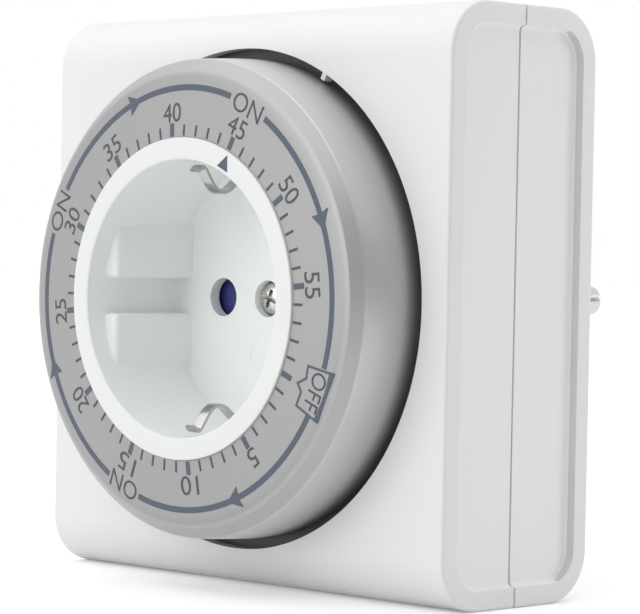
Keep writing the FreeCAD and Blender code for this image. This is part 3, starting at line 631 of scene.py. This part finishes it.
class TimerSizes(bpy.types.PropertyGroup):
    """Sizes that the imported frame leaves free."""

    case_corner: bpy.props.FloatProperty(
        name="Case corner", description="Radius of the case's corners in side view",
        default=7.5 * MM, unit='LENGTH')
    case_edge: bpy.props.FloatProperty(
        name="Case edge", description="Rounding of the case's end edges", default=0.5 * MM, unit='LENGTH')
    panel_margin: bpy.props.FloatProperty(
        name="Panel margin", description="Width of the frame round each side panel",
        default=2.9 * MM, unit='LENGTH')
    letter_height: bpy.props.FloatProperty(
        name="Letter height", description="Height of the numbers on the dial",
        default=2.75 * MM, unit='LENGTH')
    clip_width: bpy.props.FloatProperty(
        name="Clip width", description="Width of the earth clips", default=1.9 * MM, unit='LENGTH')


class TimerFinishes(bpy.types.PropertyGroup):
    """Colours of the parts that show."""

    case: bpy.props.FloatVectorProperty(
        name="Case", description="Colour of the case", default=(0.83, 0.835, 0.84), subtype='COLOR')
    panel: bpy.props.FloatVectorProperty(
        name="Side panel", description="Colour of the textured panels",
        default=(0.93, 0.93, 0.935), subtype='COLOR')
    dial: bpy.props.FloatVectorProperty(
        name="Dial", description="Colour of the dial's face",
        default=(0.385, 0.385, 0.385), subtype='COLOR')
    dial_rim: bpy.props.FloatVectorProperty(
        name="Dial rim", description="Colour of the dial's rim",
        default=(0.46, 0.46, 0.465), subtype='COLOR')
    dial_skirt: bpy.props.FloatVectorProperty(
        name="Dial skirt", description="Colour of the dial's skirt",
        default=(0.60, 0.60, 0.61), subtype='COLOR')
    cup: bpy.props.FloatVectorProperty(
        name="Cup", description="Colour of the socket cup", default=(0.83, 0.85, 0.84), subtype='COLOR')
    ink: bpy.props.FloatVectorProperty(
        name="Ink", description="Colour of the bands and ticks",
        default=(0.088, 0.108, 0.150), subtype='COLOR')
    figure_ink: bpy.props.FloatVectorProperty(
        name="Figure ink", description="Colour of the numbers",
        default=(0.068, 0.076, 0.092), subtype='COLOR')
    shutter: bpy.props.FloatVectorProperty(
        name="Shutter", description="Colour of the shutter", default=(0.045, 0.055, 0.24), subtype='COLOR')


def sizes():
    """The sizes that the user may change."""
    return bpy.context.scene.timer_sizes


def finishes():
    """The colours that the user may change."""
    return bpy.context.scene.timer_finishes


def case_plastic():
    """The case's white plastic."""
    return made_once("white_case", plastic, tuple(finishes().case), 0.42, grain=1800.0)


def panel_plastic():
    """The textured plastic of the side panels."""
    return made_once("side_panel", plastic, tuple(finishes().panel), 0.62,
                     grain=1700.0, bump=0.35, shade=0.06, specular=0.35)


def panel_wall_plastic():
    """The panels' recess wall: the panel's colour darkened as painted shade, in a matt finish."""
    return made_once("panel_wall", plastic, tuple(0.72 * part for part in finishes().panel), 0.7,
                     grain=1700.0, bump=0.2, shade=0.06, specular=0.25)


def dark_plastic():
    """The near-black finish of the dial's foot: painted shade for the dark gap between the dial and the
    case.
    """
    return made_once("dark_plastic", plastic, (0.035, 0.035, 0.038), 0.36,
                     grain=1200.0, bump=0.03, shade=0.2)


def dial_ink():
    """The blue-grey printing ink."""
    return made_once("dial_ink", plastic, tuple(finishes().ink), 0.5, grain=2600.0, shade=0.06)


def nickel_plate():
    """Bright nickel plate."""
    return made_once("nickel_plate", metal, (0.66, 0.65, 0.62), 0.22, grain=1600.0,
                     worn=(0.12, 0.12, 0.12), stretch=(1.0, 0.2, 1.0), bump=0.02)


# Case

def whole_case(name):
    """The case as one solid: round corners in side view, soft ends and a sunk panel in each side."""
    edge = sizes().case_edge
    margin = sizes().panel_margin
    case = block(name, -CASE_X, CASE_X, 0.0, CASE_BACK, -CASE_Z, CASE_Z)
    add_materials(case, case_plastic(), panel_plastic(), panel_wall_plastic())
    edit(case)
    pick(case, 'EDGE', lambda e: abs(middle(e).x) < 0.01)
    bpy.ops.mesh.bevel(offset=sizes().case_corner, segments=20, affect='EDGES')
    pick(case, 'FACE', lambda f: abs(f.normal.x) > 0.99)
    bpy.ops.mesh.region_to_loop()
    bpy.ops.mesh.bevel(offset=edge, segments=5, affect='EDGES')
    pick(case, 'FACE', lambda f: abs(f.normal.x) > 0.999 and abs(middle(f).x) > CASE_X - 0.01)
    bpy.ops.mesh.inset(thickness=margin - edge)
    bpy.ops.mesh.inset(thickness=0.06 * MM, depth=-(PANEL_DROP - PANEL_FILLET) * MM)
    turns = [math.radians(angle) for angle in range(0, 91, 18)]
    for before, after in zip(turns, turns[1:]):
        bpy.ops.mesh.inset(thickness=PANEL_FILLET * (math.cos(before) - math.cos(after)) * MM,
                           depth=-PANEL_FILLET * (math.sin(after) - math.sin(before)) * MM)
    inside = margin / MM - 0.05
    for face in bmesh.from_edit_mesh(case.data).faces:
        spot = middle(face)
        sunk = CASE_X - PANEL_DROP - 0.05 < abs(spot.x) < CASE_X - 0.005
        within = inside < spot.y < CASE_BACK - inside and abs(spot.z) < CASE_Z - inside
        # The recess's wall faces get the third material: painted shade, darker than the panel
        wall = face.normal.y < -0.3 and abs(face.normal.x) < 0.8
        face.material_index = (2 if wall else 1) if sunk and within else 0
    done()
    return case


def shell_half(name, start, end):
    """One half of the case, hollow, between two depths."""
    half = whole_case(name)
    hollow = block("hollow", -CASE_X + SIDE_WALL, CASE_X - SIDE_WALL,
                   WALL, CASE_BACK - WALL, -CASE_Z + WALL, CASE_Z - WALL)
    edit(hollow)
    pick(hollow, 'EDGE', lambda e: abs(middle(e).x) < 0.01)
    bpy.ops.mesh.bevel(offset=sizes().case_corner - WALL * MM, segments=10, affect='EDGES')
    done()
    combine(half, hollow)
    keep = block("keep", -CASE_X - 5, CASE_X + 5, start, end, -CASE_Z - 5, CASE_Z + 5)
    return combine(half, keep, 'INTERSECT')


class TIMER_OT_front_case(bpy.types.Operator):
    """Front half of the case, with the dial's round hole and the index nib"""
    bl_idname = "plug_timer.front_case"
    bl_label = "Front case"

    def execute(self, context):
        seam_front = SEAM - SEAM_GAP
        case = shell_half("front_case", -1.0, seam_front)
        edit(case)
        pick(case, 'FACE', lambda f: f.normal.y > 0.99 and abs(middle(f).y - seam_front) < 0.02)
        bpy.ops.mesh.inset(thickness=SEAM_LIP * MM)
        pull(SEAM_GAP - 0.02)
        done()
        combine(case, rod("hole", HOLE_R, -2.0, WALL + 1.0, sides=192))
        soften(case, 0.18)
        smooth(case)
        nib = block("nib", -NIB_WIDTH / 2, NIB_WIDTH / 2, 0.25, WALL - 0.2, HOLE_R - 1.15, HOLE_R + 0.9)
        turn_about_axis(nib, NIB_ANGLE)
        soften(nib, 0.12)
        smooth(nib)
        add_materials(nib, case_plastic())
        case = merge_pieces("front_case", [case, nib])
        finish(case, "housing", None, ["front_shell"])
        return {'FINISHED'}


class TIMER_OT_rear_case(bpy.types.Operator):
    """Rear half of the case, in one with the plug"""
    bl_idname = "plug_timer.rear_case"
    bl_label = "Rear case and plug"

    def execute(self, context):
        case = shell_half("rear_case", SEAM, CASE_BACK + 1.0)
        for number, (x, z) in enumerate(SCREW_PLACES):
            side = math.copysign(1.0, x)
            level = math.copysign(1.0, z)
            boss = block("boss%d" % number, x - side * BOSS_HALF, side * (CASE_X - SIDE_WALL + 0.5),
                         SEAM + 0.5, CASE_BACK - 1.0,
                         z - level * BOSS_HALF, level * (CASE_Z - WALL + 0.5))
            combine(case, boss, 'UNION')
        plug = rod("plug", PLUG_R, CASE_BACK - 1.0, PLUG_END, sides=128)
        edit(plug)
        pick(plug, 'FACE', lambda f: f.normal.y > 0.99)
        bpy.ops.mesh.bevel(offset=PLUG_EDGE * MM, segments=4, affect='EDGES')
        done()
        near, far = FLAT_SPAN
        for side in (-1, 1):
            for z0, z1 in ((-far, -near), (near, far)):
                combine(plug, block("flat", side * FLAT_X, side * PLUG_OUTSIDE,
                                    CASE_BACK, PLUG_END + 1.0, z0, z1))
        combine(case, plug, 'UNION')
        for side in (-1, 1):
            combine(case, rod("pin_hole", PIN_HOLE_R, 25.0, PLUG_END + 1.0, side * PIN_X, 0.0))
            low, high = sorted((side * CHANNEL_START, side * PLUG_OUTSIDE))
            combine(case, block("channel", -CHANNEL_HALF, CHANNEL_HALF,
                                CASE_BACK - 1.0, PLUG_END - 2.0, low, high))
        for x, z in SCREW_PLACES:
            combine(case, rod("sink", SINK_R, CASE_BACK - SINK_DEPTH, CASE_BACK + 1.0, x, z))
        soften(case, 0.2)
        smooth(case)
        finish(case, "housing", None, ["rear_shell"])
        return {'FINISHED'}


# Screws and pins

def screw(name, head_r, top, under, x, z, turn):
    """A pan-head screw seen from its head, with a cross recess, its head's top at one depth."""
    rise = top - under
    head = turned(name, [
        (0.0, top), (head_r * 0.55, top - rise * 0.06), (head_r * 0.85, top - rise * 0.25),
        (head_r, top - rise * 0.6), (head_r, under), (0.0, under)], 48, x, z)
    deep = rise * 0.7
    half = head_r * 0.66
    for angle in (turn, turn + 90.0):
        arm = block("arm", x - half, x + half, min(top, top - deep), max(top, top - deep),
                    z - 0.36, z + 0.36)
        edit(arm)
        pick(arm, 'FACE', lambda f: (f.normal.y > 0.9) == (rise < 0) and abs(f.normal.y) > 0.9)
        bpy.ops.transform.resize(value=(0.55, 1.0, 0.6))
        pick(arm, 'FACE', lambda f: (f.normal.y > 0.9) == (rise > 0) and abs(f.normal.y) > 0.9)
        bpy.ops.transform.translate(value=(0, math.copysign(0.3, rise) * MM, 0))
        done()
        turn_about_axis(arm, angle, x, z)
        combine(head, arm)
    soften(head, 0.05)
    smooth(head)
    return head


def shank(name, start, x=0.0, z=0.0):
    """A screw's plain shank, from a depth to its end in the case's back."""
    bar = rod(name, SHANK_R, start, SHANK_END, x, z, 24)
    smooth(bar)
    return bar


class TIMER_OT_screws(bpy.types.Operator):
    """Cross-head screw in the cup and the two case screws in the back"""
    bl_idname = "plug_timer.screws"
    bl_label = "Screws"

    def execute(self, context):
        zinc = metal("zinc_plate", (0.62, 0.62, 0.60), 0.28, grain=1500.0, worn=(0.15, 0.15, 0.15))
        centre = screw("cup_screw", *CUP_HEAD, 0.0, 0.0, 20.0)
        centre = merge_pieces("cup_screw", [centre, shank("shank", 7.9)])
        finish(centre, "housing", zinc, ["centre_screw"])
        pieces = []
        for number, (x, z) in enumerate(SCREW_PLACES):
            pieces.append(screw("case_screw%d" % number, *CASE_HEAD, x, z, 35.0 + 30.0 * number))
            pieces.append(shank("shank%d" % number, 6.0, x, z))
        finish(merge_pieces("back_screws", pieces), "housing", zinc, ["case_screws"])
        return {'FINISHED'}


class TIMER_OT_pins(bpy.types.Operator):
    """The two plug pins, with rounded tips"""
    bl_idname = "plug_timer.pins"
    bl_label = "Plug pins"

    def execute(self, context):
        end = PLUG_END + PIN_LENGTH
        tip = arc(PIN_R - PIN_TIP, end - PIN_TIP, PIN_TIP, 90, 180, 6)
        outline = [(0.0, COLLAR[0]), (COLLAR_R, COLLAR[0]), (COLLAR_R, COLLAR[1]), (PIN_R, COLLAR[1])]
        pin = turned("pin_live", outline + tip + [(0.0, end)], 48, PIN_X)
        smooth(pin)
        twin = copy_of(pin, "pin_neutral", -2 * PIN_X)
        finish(pin, "housing", nickel_plate(), ["live_pin"])
        finish(twin, "housing", nickel_plate(), ["neutral_pin"])
        return {'FINISHED'}


# Dial

class TIMER_OT_dial(bpy.types.Operator):
    """The turning dial: a crowned face, a shoulder in two slopes, a skirt and a foot in the case painted
    near-black as the shade in the gap
    """
    bl_idname = "plug_timer.dial"
    bl_label = "Dial"

    def execute(self, context):
        face = DIAL_FRONT
        inside = face + FACE_THICK
        outline = [(BORE_R, face + 0.15), (BORE_R + 0.02, face + 0.01), (FACE_R, face_depth(FACE_R))]
        outline += [(radius, face + drop) for radius, drop in SHOULDER]
        outline += [(SKIRT_R, 0.2), (SKIRT_R, SKIRT_END), (SKIRT_INSIDE, SKIRT_END),
                    (SKIRT_INSIDE, inside), (BORE_R, inside), (BORE_R, face + 0.15)]
        dial = turned("dial", outline, 180)
        smooth(dial, 22.0)
        start, end = FOOT
        foot = turned("dial_foot", [(SKIRT_INSIDE, start), (FOOT_R, start), (FOOT_R, end),
                                    (SKIRT_INSIDE, end), (SKIRT_INSIDE, start)], 180)
        smooth(foot, 30.0)
        colours = finishes()
        paint = dial_paint("dial_paint", tuple(colours.dial), tuple(colours.dial_rim),
                           tuple(colours.dial_skirt))
        finish(dial, "dial", paint, ["dial_ring"])
        finish(foot, "dial", dark_plastic(), ["dial_ring"])
        return {'FINISHED'}


def words(name, body, height, width, radius, degrees, weight):
    """A word on the dial with its top outwards, centred at a radius and a clockwise angle."""
    clear_choice()
    bpy.ops.object.text_add(location=(0, 0, 0))
    text = bpy.context.object
    text.data.body = body
    text.data.align_x = 'CENTER'
    text.data.size = 1.0
    text.data.offset = weight
    text.data.resolution_u = 5
    choose(text)
    bpy.ops.object.convert(target='MESH')
    text = bpy.context.object
    corners = [Vector(vertex.co) for vertex in text.data.vertices]
    low = Vector((min(c.x for c in corners), min(c.y for c in corners), 0))
    high = Vector((max(c.x for c in corners), max(c.y for c in corners), 0))
    scale = Matrix.Diagonal((width * MM / (high.x - low.x), height * MM / (high.y - low.y), 1.0, 1.0))
    centre = Matrix.Translation(-(low + high) / 2)
    stand = Matrix.Rotation(math.pi / 2 - math.atan(FACE_SLOPE), 4, 'X')
    turn = Matrix.Rotation(math.radians(degrees), 4, 'Y')
    place = Matrix.Translation(to_metres(*on_face(radius, degrees)))
    text.matrix_world = place @ turn @ stand @ scale @ centre
    settle(text, name)
    edit(text)
    select_all()
    pull(2 * INK)
    close_mesh()
    return text


def inset_outline(outline, distance):
    """A closed outline of radius and angle, drawn in by a distance on all its sides."""
    points = [on_dial(radius, angle) for radius, angle in outline]
    inner = []
    for before, here, after in zip(points[-1:] + points[:-1], points, points[1:] + points[:1]):
        into = Vector((here[0] - before[0], here[1] - before[1])).normalized()
        out = Vector((after[0] - here[0], after[1] - here[1])).normalized()
        side = Vector((into.y + out.y, -into.x - out.x)).normalized()
        reach = distance / side.dot(Vector((out.y, -out.x)))
        x, z = here[0] + side.x * reach, here[1] + side.y * reach
        inner.append((math.hypot(x, z), math.degrees(math.atan2(x, z))))
    return inner


def minute_mark(minute):
    """One tick of the scale: long and broad at each fifth minute, short and thin between them."""
    angle = OFF_ANGLE + MINUTE * minute
    fifth = minute % 5 == 0
    half = 0.42 if fifth else 0.19
    end = 25.1 if fifth else 24.78
    inner = math.degrees(half / TICK_START)
    outer = math.degrees(half / end)
    return patch("tick%d" % minute, [
        (TICK_START, angle - inner), (end, angle - outer),
        (end, angle + outer), (TICK_START, angle + inner)])


def arrow(tip):
    """The arrow head at the end of a band, its point at a clockwise angle."""
    middle_r = sum(RING) / 2
    return patch("arrow", [
        (middle_r, tip), (31.65, tip - 5.1), (middle_r, tip - 4.7), (28.55, tip - 5.2)], 1.5 * INK)


class TIMER_OT_dial_print(bpy.types.Operator):
    """Ticks, numbers, ON bands, arrows and the OFF box printed on the dial"""
    bl_idname = "plug_timer.dial_print"
    bl_label = "Dial print"

    def execute(self, context):
        broad = [minute_mark(minute) for minute in range(0, 60, 5)]
        thin = [minute_mark(minute) for minute in range(60) if minute % 5]
        broad += [band("ring", RING, first, last) for first, last in RING_SPANS]
        broad += [arrow(tip) for tip in ARROW_TIPS]
        box = patch("box", OFF_BOX)
        hollow = patch("hollow", inset_outline(OFF_BOX, BOX_LINE), 3 * INK)
        broad.append(combine(box, hollow))
        bands = merge_pieces("dial_bands", broad)
        numbers = []
        height = sizes().letter_height / MM
        for minute in range(5, 60, 5):
            width = 3.7 if minute > 5 else 1.7
            numbers.append(words("number%d" % minute, str(minute), height, width, FIGURE_R,
                                 OFF_ANGLE + MINUTE * minute, 0.0))
        for angle in ON_PLACES:
            numbers.append(words("on_word", "ON", 2.7, 6.0, 29.9, angle, -0.006))
        numbers.append(words("off_word", "OFF", 2.6, 5.6, 29.75, 113.8, -0.004))
        figures = merge_pieces("dial_figures", thin + numbers)
        finish(bands, "dial", dial_ink())
        figure_ink = plastic("figure_ink", tuple(finishes().figure_ink), 0.5, grain=2600.0, shade=0.06)
        finish(figures, "dial", figure_ink)
        return {'FINISHED'}


# Socket cup

def lug_pair(side):
    """The two guide lugs on one side of the cup, with rounded edges and the groove between them."""
    start = CUP_FRONT + 3.2
    end = CUP_FLOOR + 0.9
    lug = block("lug", side * LUG_X, side * (RIM_R - 1.6), start, end, -LUG_HALF, LUG_HALF)

    def inner_edge(edge):
        """Whether an edge runs up and down on the lug's side towards the plug."""
        return abs(middle(edge).x) < LUG_X + 0.4 and abs(middle(edge).z) < 1.0

    edit(lug)
    pick(lug, 'EDGE', lambda e: inner_edge(e) and middle(e).y < start + 0.1)
    bpy.ops.transform.translate(value=(side * 0.4 * MM, 0, 0))
    pick(lug, 'EDGE', lambda e: inner_edge(e) and middle(e).y > end - 0.1)
    bpy.ops.transform.translate(value=(-side * 0.3 * MM, 0, 0))
    done()
    combine(lug, block("groove", side * 9.0, side * 24.0, start - 1.0, end + 1.0,
                       -GROOVE_HALF, GROOVE_HALF))
    soften(lug, 0.8, 5)
    return combine(lug, rod("round", RIM_R - 2.0, start - 1.0, end + 1.0, sides=96), 'INTERSECT')


class TIMER_OT_cup(bpy.types.Operator):
    """The socket cup with its lugs, contact holes and printed pointer"""
    bl_idname = "plug_timer.cup"
    bl_label = "Socket cup"

    def execute(self, context):
        front = CUP_FRONT + 2 * INK
        lip = arc(MOUTH_R + 0.35, front + 0.35, 0.35, -90, 0, 5)
        rim = arc(RIM_R - 0.2, front + 0.2, 0.2, 0, 90, 3)
        fillet = arc(MOUTH_R - 0.5, CUP_FLOOR - 0.5, 0.5, 180, 90, 3)
        inner, outer = FOOT_RING
        cup = turned("cup", [(0.0, CUP_FLOOR)] + fillet + lip + rim + [
            (RIM_R, FLOOR_BACK), (outer, FLOOR_BACK), (outer, CUP_END), (inner, CUP_END),
            (inner, FLOOR_BACK), (0.0, FLOOR_BACK)], 144)
        for side in (-1, 1):
            combine(cup, lug_pair(side), 'UNION')
            combine(cup, rod("contact_hole", CONTACT_R, *FLOOR_CUT, side * PIN_X))
            low, high = sorted((side * 18.4, side * 19.45))
            combine(cup, block("clip_slot", -1.8, 1.8, *FLOOR_CUT, low, high))
        combine(cup, rod("screw_recess", 2.7, *FLOOR_CUT))
        combine(cup, rod("pin_mark", 2.9, CUP_FLOOR - 1.0, CUP_FLOOR + 0.06, -0.5, -8.0))
        smooth(cup, 30.0)
        shade = tuple(finishes().cup)
        # Painted light: the cup's inside gets a lighter copy of the cup's colour, lifting the shade in its
        # hollow
        light = tuple(min(0.95, 1.1 * part) for part in shade)
        add_materials(cup, plastic("white_cup", shade, 0.36, grain=1800.0, bump=0.015),
                      plastic("cup_inside", light, 0.36, grain=1800.0, bump=0.015))
        edit(cup)
        for face in bmesh.from_edit_mesh(cup.data).faces:
            spot = middle(face)
            inside = spot.y > front + 0.4 and math.hypot(spot.x, spot.z) < MOUTH_R + 0.2
            face.material_index = 1 if inside else 0
        done()
        finish(cup, "housing", None, ["socket_insert"])
        corners = [on_dial(22.56, 25.6), on_dial(20.4, 22.1), on_dial(20.4, 28.7)]
        pointer = slab("pointer", [(x, front - INK, z) for x, z in corners], 2 * INK)
        finish(pointer, "housing", dial_ink())
        return {'FINISHED'}


def rounded(corners, cuts, steps=8):
    """An open path with each of its corners turned into a smooth bend that starts and ends at its cut."""
    path = [corners[0]]
    for before, corner, after, cut in zip(corners, corners[1:], corners[2:], cuts):
        here = Vector(corner)
        start = here + (Vector(before) - here).normalized() * cut
        end = here + (Vector(after) - here).normalized() * cut
        for step in range(steps + 1):
            along = step / steps
            path.append(tuple(start.lerp(here, along).lerp(here.lerp(end, along), along)))
    return path + [corners[-1]]


def clip_arm(side):
    """Half of the earth bow: from its middle to a straight root, an inward crest and a bent tip."""
    path = rounded([(11.7, 0.0), (11.7, 19.0), (1.3, 19.0), (-4.6, 14.2), (-8.3, 19.5), (-9.1, 18.2)],
                   (1.5, 1.5, 3.2, 1.4))
    width = sizes().clip_width / MM
    arm = drawn("clip", [(-width / 2, depth, side * up) for depth, up in path])
    pull(0.0, width)
    done()
    wall = arm.modifiers.new("wall", 'SOLIDIFY')
    wall.thickness = 0.5 * MM
    wall.offset = 0.0
    apply_modifier(arm, wall)
    edit(arm)
    close_mesh()
    soften(arm, 0.12)
    smooth(arm)
    return arm


class TIMER_OT_earth_clips(bpy.types.Operator):
    """The sprung earth clips at the top and bottom of the cup"""
    bl_idname = "plug_timer.earth_clips"
    bl_label = "Earth clips"

    def execute(self, context):
        clips = merge_pieces("earth_clips", [clip_arm(side) for side in (-1, 1)])
        # Painted shade: the clip's edges are darkened, standing in for the dark lines along its bends and
        # edges
        nickel = metal("clip_nickel", (0.66, 0.66, 0.65), 0.12, grain=1500.0,
                       worn=(-0.4, -0.4, -0.4), stretch=(1.0, 0.25, 1.0), bump=0.02)
        finish(clips, "housing", nickel, ["earth_bow"])
        return {'FINISHED'}


# Parts inside

class TIMER_OT_inner_parts(bpy.types.Operator):
    """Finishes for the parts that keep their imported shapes"""
    bl_idname = "plug_timer.inner_parts"
    bl_label = "Inner parts"

    def execute(self, context):
        shutter = plastic("shutter_blue", tuple(finishes().shutter), 0.35, shade=0.15)
        gear = plastic("natural_gear", (0.72, 0.70, 0.62), 0.38, grain=1200.0, shade=0.08)
        dark = plastic("dark_gear_ring", (0.045, 0.045, 0.048), 0.45, grain=1200.0, bump=0.03, shade=0.2)
        frame_grey = plastic("frame_grey", (0.06, 0.06, 0.065), 0.5, grain=900.0, bump=0.05, shade=0.15)
        base = plastic("base_amber", (0.30, 0.14, 0.05), 0.42, grain=900.0, bump=0.04, shade=0.2)
        bronze = metal("bronze_strip", (0.70, 0.47, 0.27), 0.3, grain=1400.0,
                       worn=(0.1, 0.1, 0.08), stretch=(1.0, 1.0, 0.15))
        brass = metal("brass_strip", (0.76, 0.60, 0.31), 0.3, grain=1400.0,
                      worn=(0.1, 0.1, 0.08), stretch=(1.0, 0.2, 1.0))
        steel = metal("steel", (0.50, 0.50, 0.51), 0.32, grain=1200.0,
                      worn=(0.15, 0.15, 0.15), stretch=(0.3, 1.0, 1.0))
        spring = metal("spring_steel", (0.40, 0.41, 0.43), 0.26, grain=1800.0,
                       worn=(0.15, 0.15, 0.15), stretch=(1.0, 0.3, 1.0), bump=0.02)
        dress = {
            "shutter": shutter, "gear_ring": dark, "movement_frame": frame_grey, "switch_base": base,
            "switch_lever": gear, "output_arbor": gear, "clutch_wheel": gear, "motor_pinion": brass,
            "clutch_spring": spring, "shutter_spring": spring, "motor": steel, "switch_pivot": steel,
            "contact_leaf": bronze, "fixed_contact": brass, "live_in": brass, "live_out": brass,
            "live_grip": bronze, "neutral_grip": bronze, "plug_earth": nickel_plate(),
        }
        for name, material in dress.items():
            mesh = frame["nodes"][name].data
            if not mesh.materials:
                mesh.materials.append(material)
            for index in range(len(mesh.materials)):
                mesh.materials[index] = material
        return {'FINISHED'}


# Stage

def skylight(name, level, spread, source):
    """A broad soft light from a direction, its level a share of what shows white paper white."""
    sun = bpy.data.lights.new(name, 'SUN')
    sun.energy = level * math.pi
    sun.angle = math.radians(spread)
    light = bpy.data.objects.new(name, sun)
    bpy.context.collection.objects.link(light)
    light.rotation_euler = (-Vector(source)).to_track_quat('-Z', 'Y').to_euler()


def seen_directly(tree):
    """One where a camera, glossy or transmission ray looks at a surface or the world."""
    path = tree.nodes.new('ShaderNodeLightPath')
    seen = path.outputs['Is Camera Ray']
    for label in ("Is Glossy Ray", "Is Transmission Ray"):
        either = node(tree, 'ShaderNodeMath', operation='MAXIMUM')
        tree.links.new(seen, either.inputs[0])
        tree.links.new(path.outputs[label], either.inputs[1])
        seen = either.outputs[0]
    return seen


def paper(name, colour, glow=0.0):
    """Paper with fine fibres, and a glow that shows directly or in a gloss and lights nothing matt."""
    material, tree, shader = new_material(name)
    shader.inputs['Roughness'].default_value = 0.9
    shader.inputs['Specular IOR Level'].default_value = 0.1
    place = tree.nodes.new('ShaderNodeTexCoord')
    fibres = node(tree, 'ShaderNodeTexNoise', Scale=900.0, Detail=3.0)
    link = tree.links.new
    link(place.outputs['Object'], fibres.inputs['Vector'])
    tone = mixed(tree, fibres.outputs['Fac'], (colour - 0.01,) * 3, (colour,) * 3)
    link(tone, shader.inputs['Base Color'])
    if glow:
        white = mixed(tree, seen_directly(tree), (0.0, 0.0, 0.0), (glow, glow, glow))
        link(white, shader.inputs['Emission Color'])
        shader.inputs['Emission Strength'].default_value = 1.0
    return material


def flag(name, corners, material, dims=False):
    """A dark card that the camera doesn't see: it shows in gloss, and may dim the soft light too."""
    clear_choice()
    bpy.ops.mesh.primitive_plane_add(size=1.0, location=(0, 0, 0))
    card = bpy.context.object
    card.name = name
    edit(card, 'VERT')
    mesh = bmesh.from_edit_mesh(card.data)
    mesh.verts.ensure_lookup_table()
    for vertex, corner in zip((mesh.verts[0], mesh.verts[1], mesh.verts[3], mesh.verts[2]), corners):
        vertex.co = Vector(corner) * MM
    bmesh.update_edit_mesh(card.data)
    select_all()
    bpy.ops.mesh.subdivide(number_cuts=3)
    done()
    add_materials(card, material)
    card.visible_camera = False
    card.visible_shadow = False
    card.visible_diffuse = dims
    card.visible_transmission = False


def photo_camera():
    """A camera fitted to the photograph: turned, raised, tilted and as far away."""
    data = bpy.data.cameras.new("camera")
    data.sensor_width = SENSOR
    data.lens = FOCAL_PIXELS / PICTURE_WIDTH * SENSOR
    data.clip_start = 0.01
    data.clip_end = 20.0
    camera = bpy.data.objects.new("camera", data)
    bpy.context.collection.objects.link(camera)
    around = math.radians(CAMERA_AROUND)
    above = math.radians(CAMERA_ABOVE)
    roll = math.radians(CAMERA_ROLL)
    away = Vector((math.sin(around) * math.cos(above), -math.cos(around) * math.cos(above),
                   math.sin(above)))
    right = (-away).cross(Vector((0, 0, 1))).normalized()
    up = right.cross(-away)
    turned_right = right * math.cos(roll) + up * math.sin(roll)
    turned_up = up * math.cos(roll) - right * math.sin(roll)
    basis = Matrix((turned_right, turned_up, away)).transposed().to_4x4()
    target = Vector(CAMERA_TARGET) * MM
    camera.matrix_world = Matrix.Translation(target + away * CAMERA_AWAY * MM) @ basis
    bpy.context.scene.camera = camera


class TIMER_OT_stage(bpy.types.Operator):
    """Floor, background, lamps and camera"""
    bl_idname = "plug_timer.stage"
    bl_label = "Stage"

    def execute(self, context):
        clear_choice()
        bpy.ops.mesh.primitive_plane_add(size=6.0, location=(0, 0, -CASE_Z * MM))
        floor = settle(bpy.context.object, "floor")
        edit(floor)
        select_all()
        bpy.ops.mesh.subdivide(number_cuts=4)
        done()
        add_materials(floor, paper("paper", 0.9, 0.25))

        world = bpy.data.worlds.new("studio")
        world.use_nodes = True
        tree = world.node_tree
        background = tree.nodes['Background']
        background.inputs['Color'].default_value = (1.0, 1.0, 1.0, 1.0)
        strength = node(tree, 'ShaderNodeMapRange', To_Min=0.72, To_Max=1.0)
        tree.links.new(seen_directly(tree), strength.inputs['Value'])
        tree.links.new(strength.outputs['Result'], background.inputs['Strength'])
        bpy.context.scene.world = world

        skylight("overhead", 0.34, 90.0, (-0.10, -0.34, 0.94))
        skylight("fill", 0.25, 60.0, (-0.22, -0.97, 0.05))
        skylight("behind", 0.16, 20.0, (0.50, 0.85, 0.18))

        dark = paper("dark_card", 0.07)
        near, edge, far, low = -640, 30, 760, -41
        flag("card_right", [(CARD_X, near, low), (CARD_X, edge, low), (CARD_X, edge, 520),
                            (CARD_X, near, 520)], dark, True)
        flag("card_back", [(CARD_X, edge, low), (CARD_X, far, low), (CARD_X, far, 300),
                           (CARD_X, edge, 300)], dark)
        photo_camera()
        bpy.context.scene.view_settings.view_transform = 'Standard'
        return {'FINISHED'}


# Panel

class TIMER_PT_pieces(bpy.types.Panel):
    """The timer's pieces in the sidebar"""
    bl_idname = "TIMER_PT_pieces"
    bl_label = "Plug-in timer"
    bl_space_type = 'VIEW_3D'
    bl_region_type = 'UI'
    bl_category = "Timer"

    def draw(self, context):
        layout = self.layout
        for group in (sizes(), finishes()):
            box = layout.box()
            for name in group.bl_rna.properties.keys():
                if name not in ("rna_type", "name"):
                    box.prop(group, name)
        for operator in OPERATORS:
            layout.operator(operator.bl_idname)


OPERATORS = [
    TIMER_OT_front_case, TIMER_OT_rear_case, TIMER_OT_screws, TIMER_OT_pins, TIMER_OT_dial,
    TIMER_OT_dial_print, TIMER_OT_cup, TIMER_OT_earth_clips, TIMER_OT_inner_parts, TIMER_OT_stage,
]
CLASSES = [TimerSizes, TimerFinishes] + OPERATORS + [TIMER_PT_pieces]


def register():
    """Adds the classes and the scene's settings."""
    for each in CLASSES:
        bpy.utils.register_class(each)
    bpy.types.Scene.timer_sizes = bpy.props.PointerProperty(type=TimerSizes)
    bpy.types.Scene.timer_finishes = bpy.props.PointerProperty(type=TimerFinishes)


def unregister():
    """Takes the scene's settings and the classes away."""
    del bpy.types.Scene.timer_finishes
    del bpy.types.Scene.timer_sizes
    for each in reversed(CLASSES):
        bpy.utils.unregister_class(each)


def main():
    """Builds the timer and its stage."""
    register()
    bpy.ops.plug_timer.front_case()
    bpy.ops.plug_timer.rear_case()
    bpy.ops.plug_timer.screws()
    bpy.ops.plug_timer.pins()
    bpy.ops.plug_timer.dial()
    bpy.ops.plug_timer.dial_print()
    bpy.ops.plug_timer.cup()
    bpy.ops.plug_timer.earth_clips()
    bpy.ops.plug_timer.inner_parts()
    bpy.ops.plug_timer.stage()


if __name__ == "__main__":
    main()
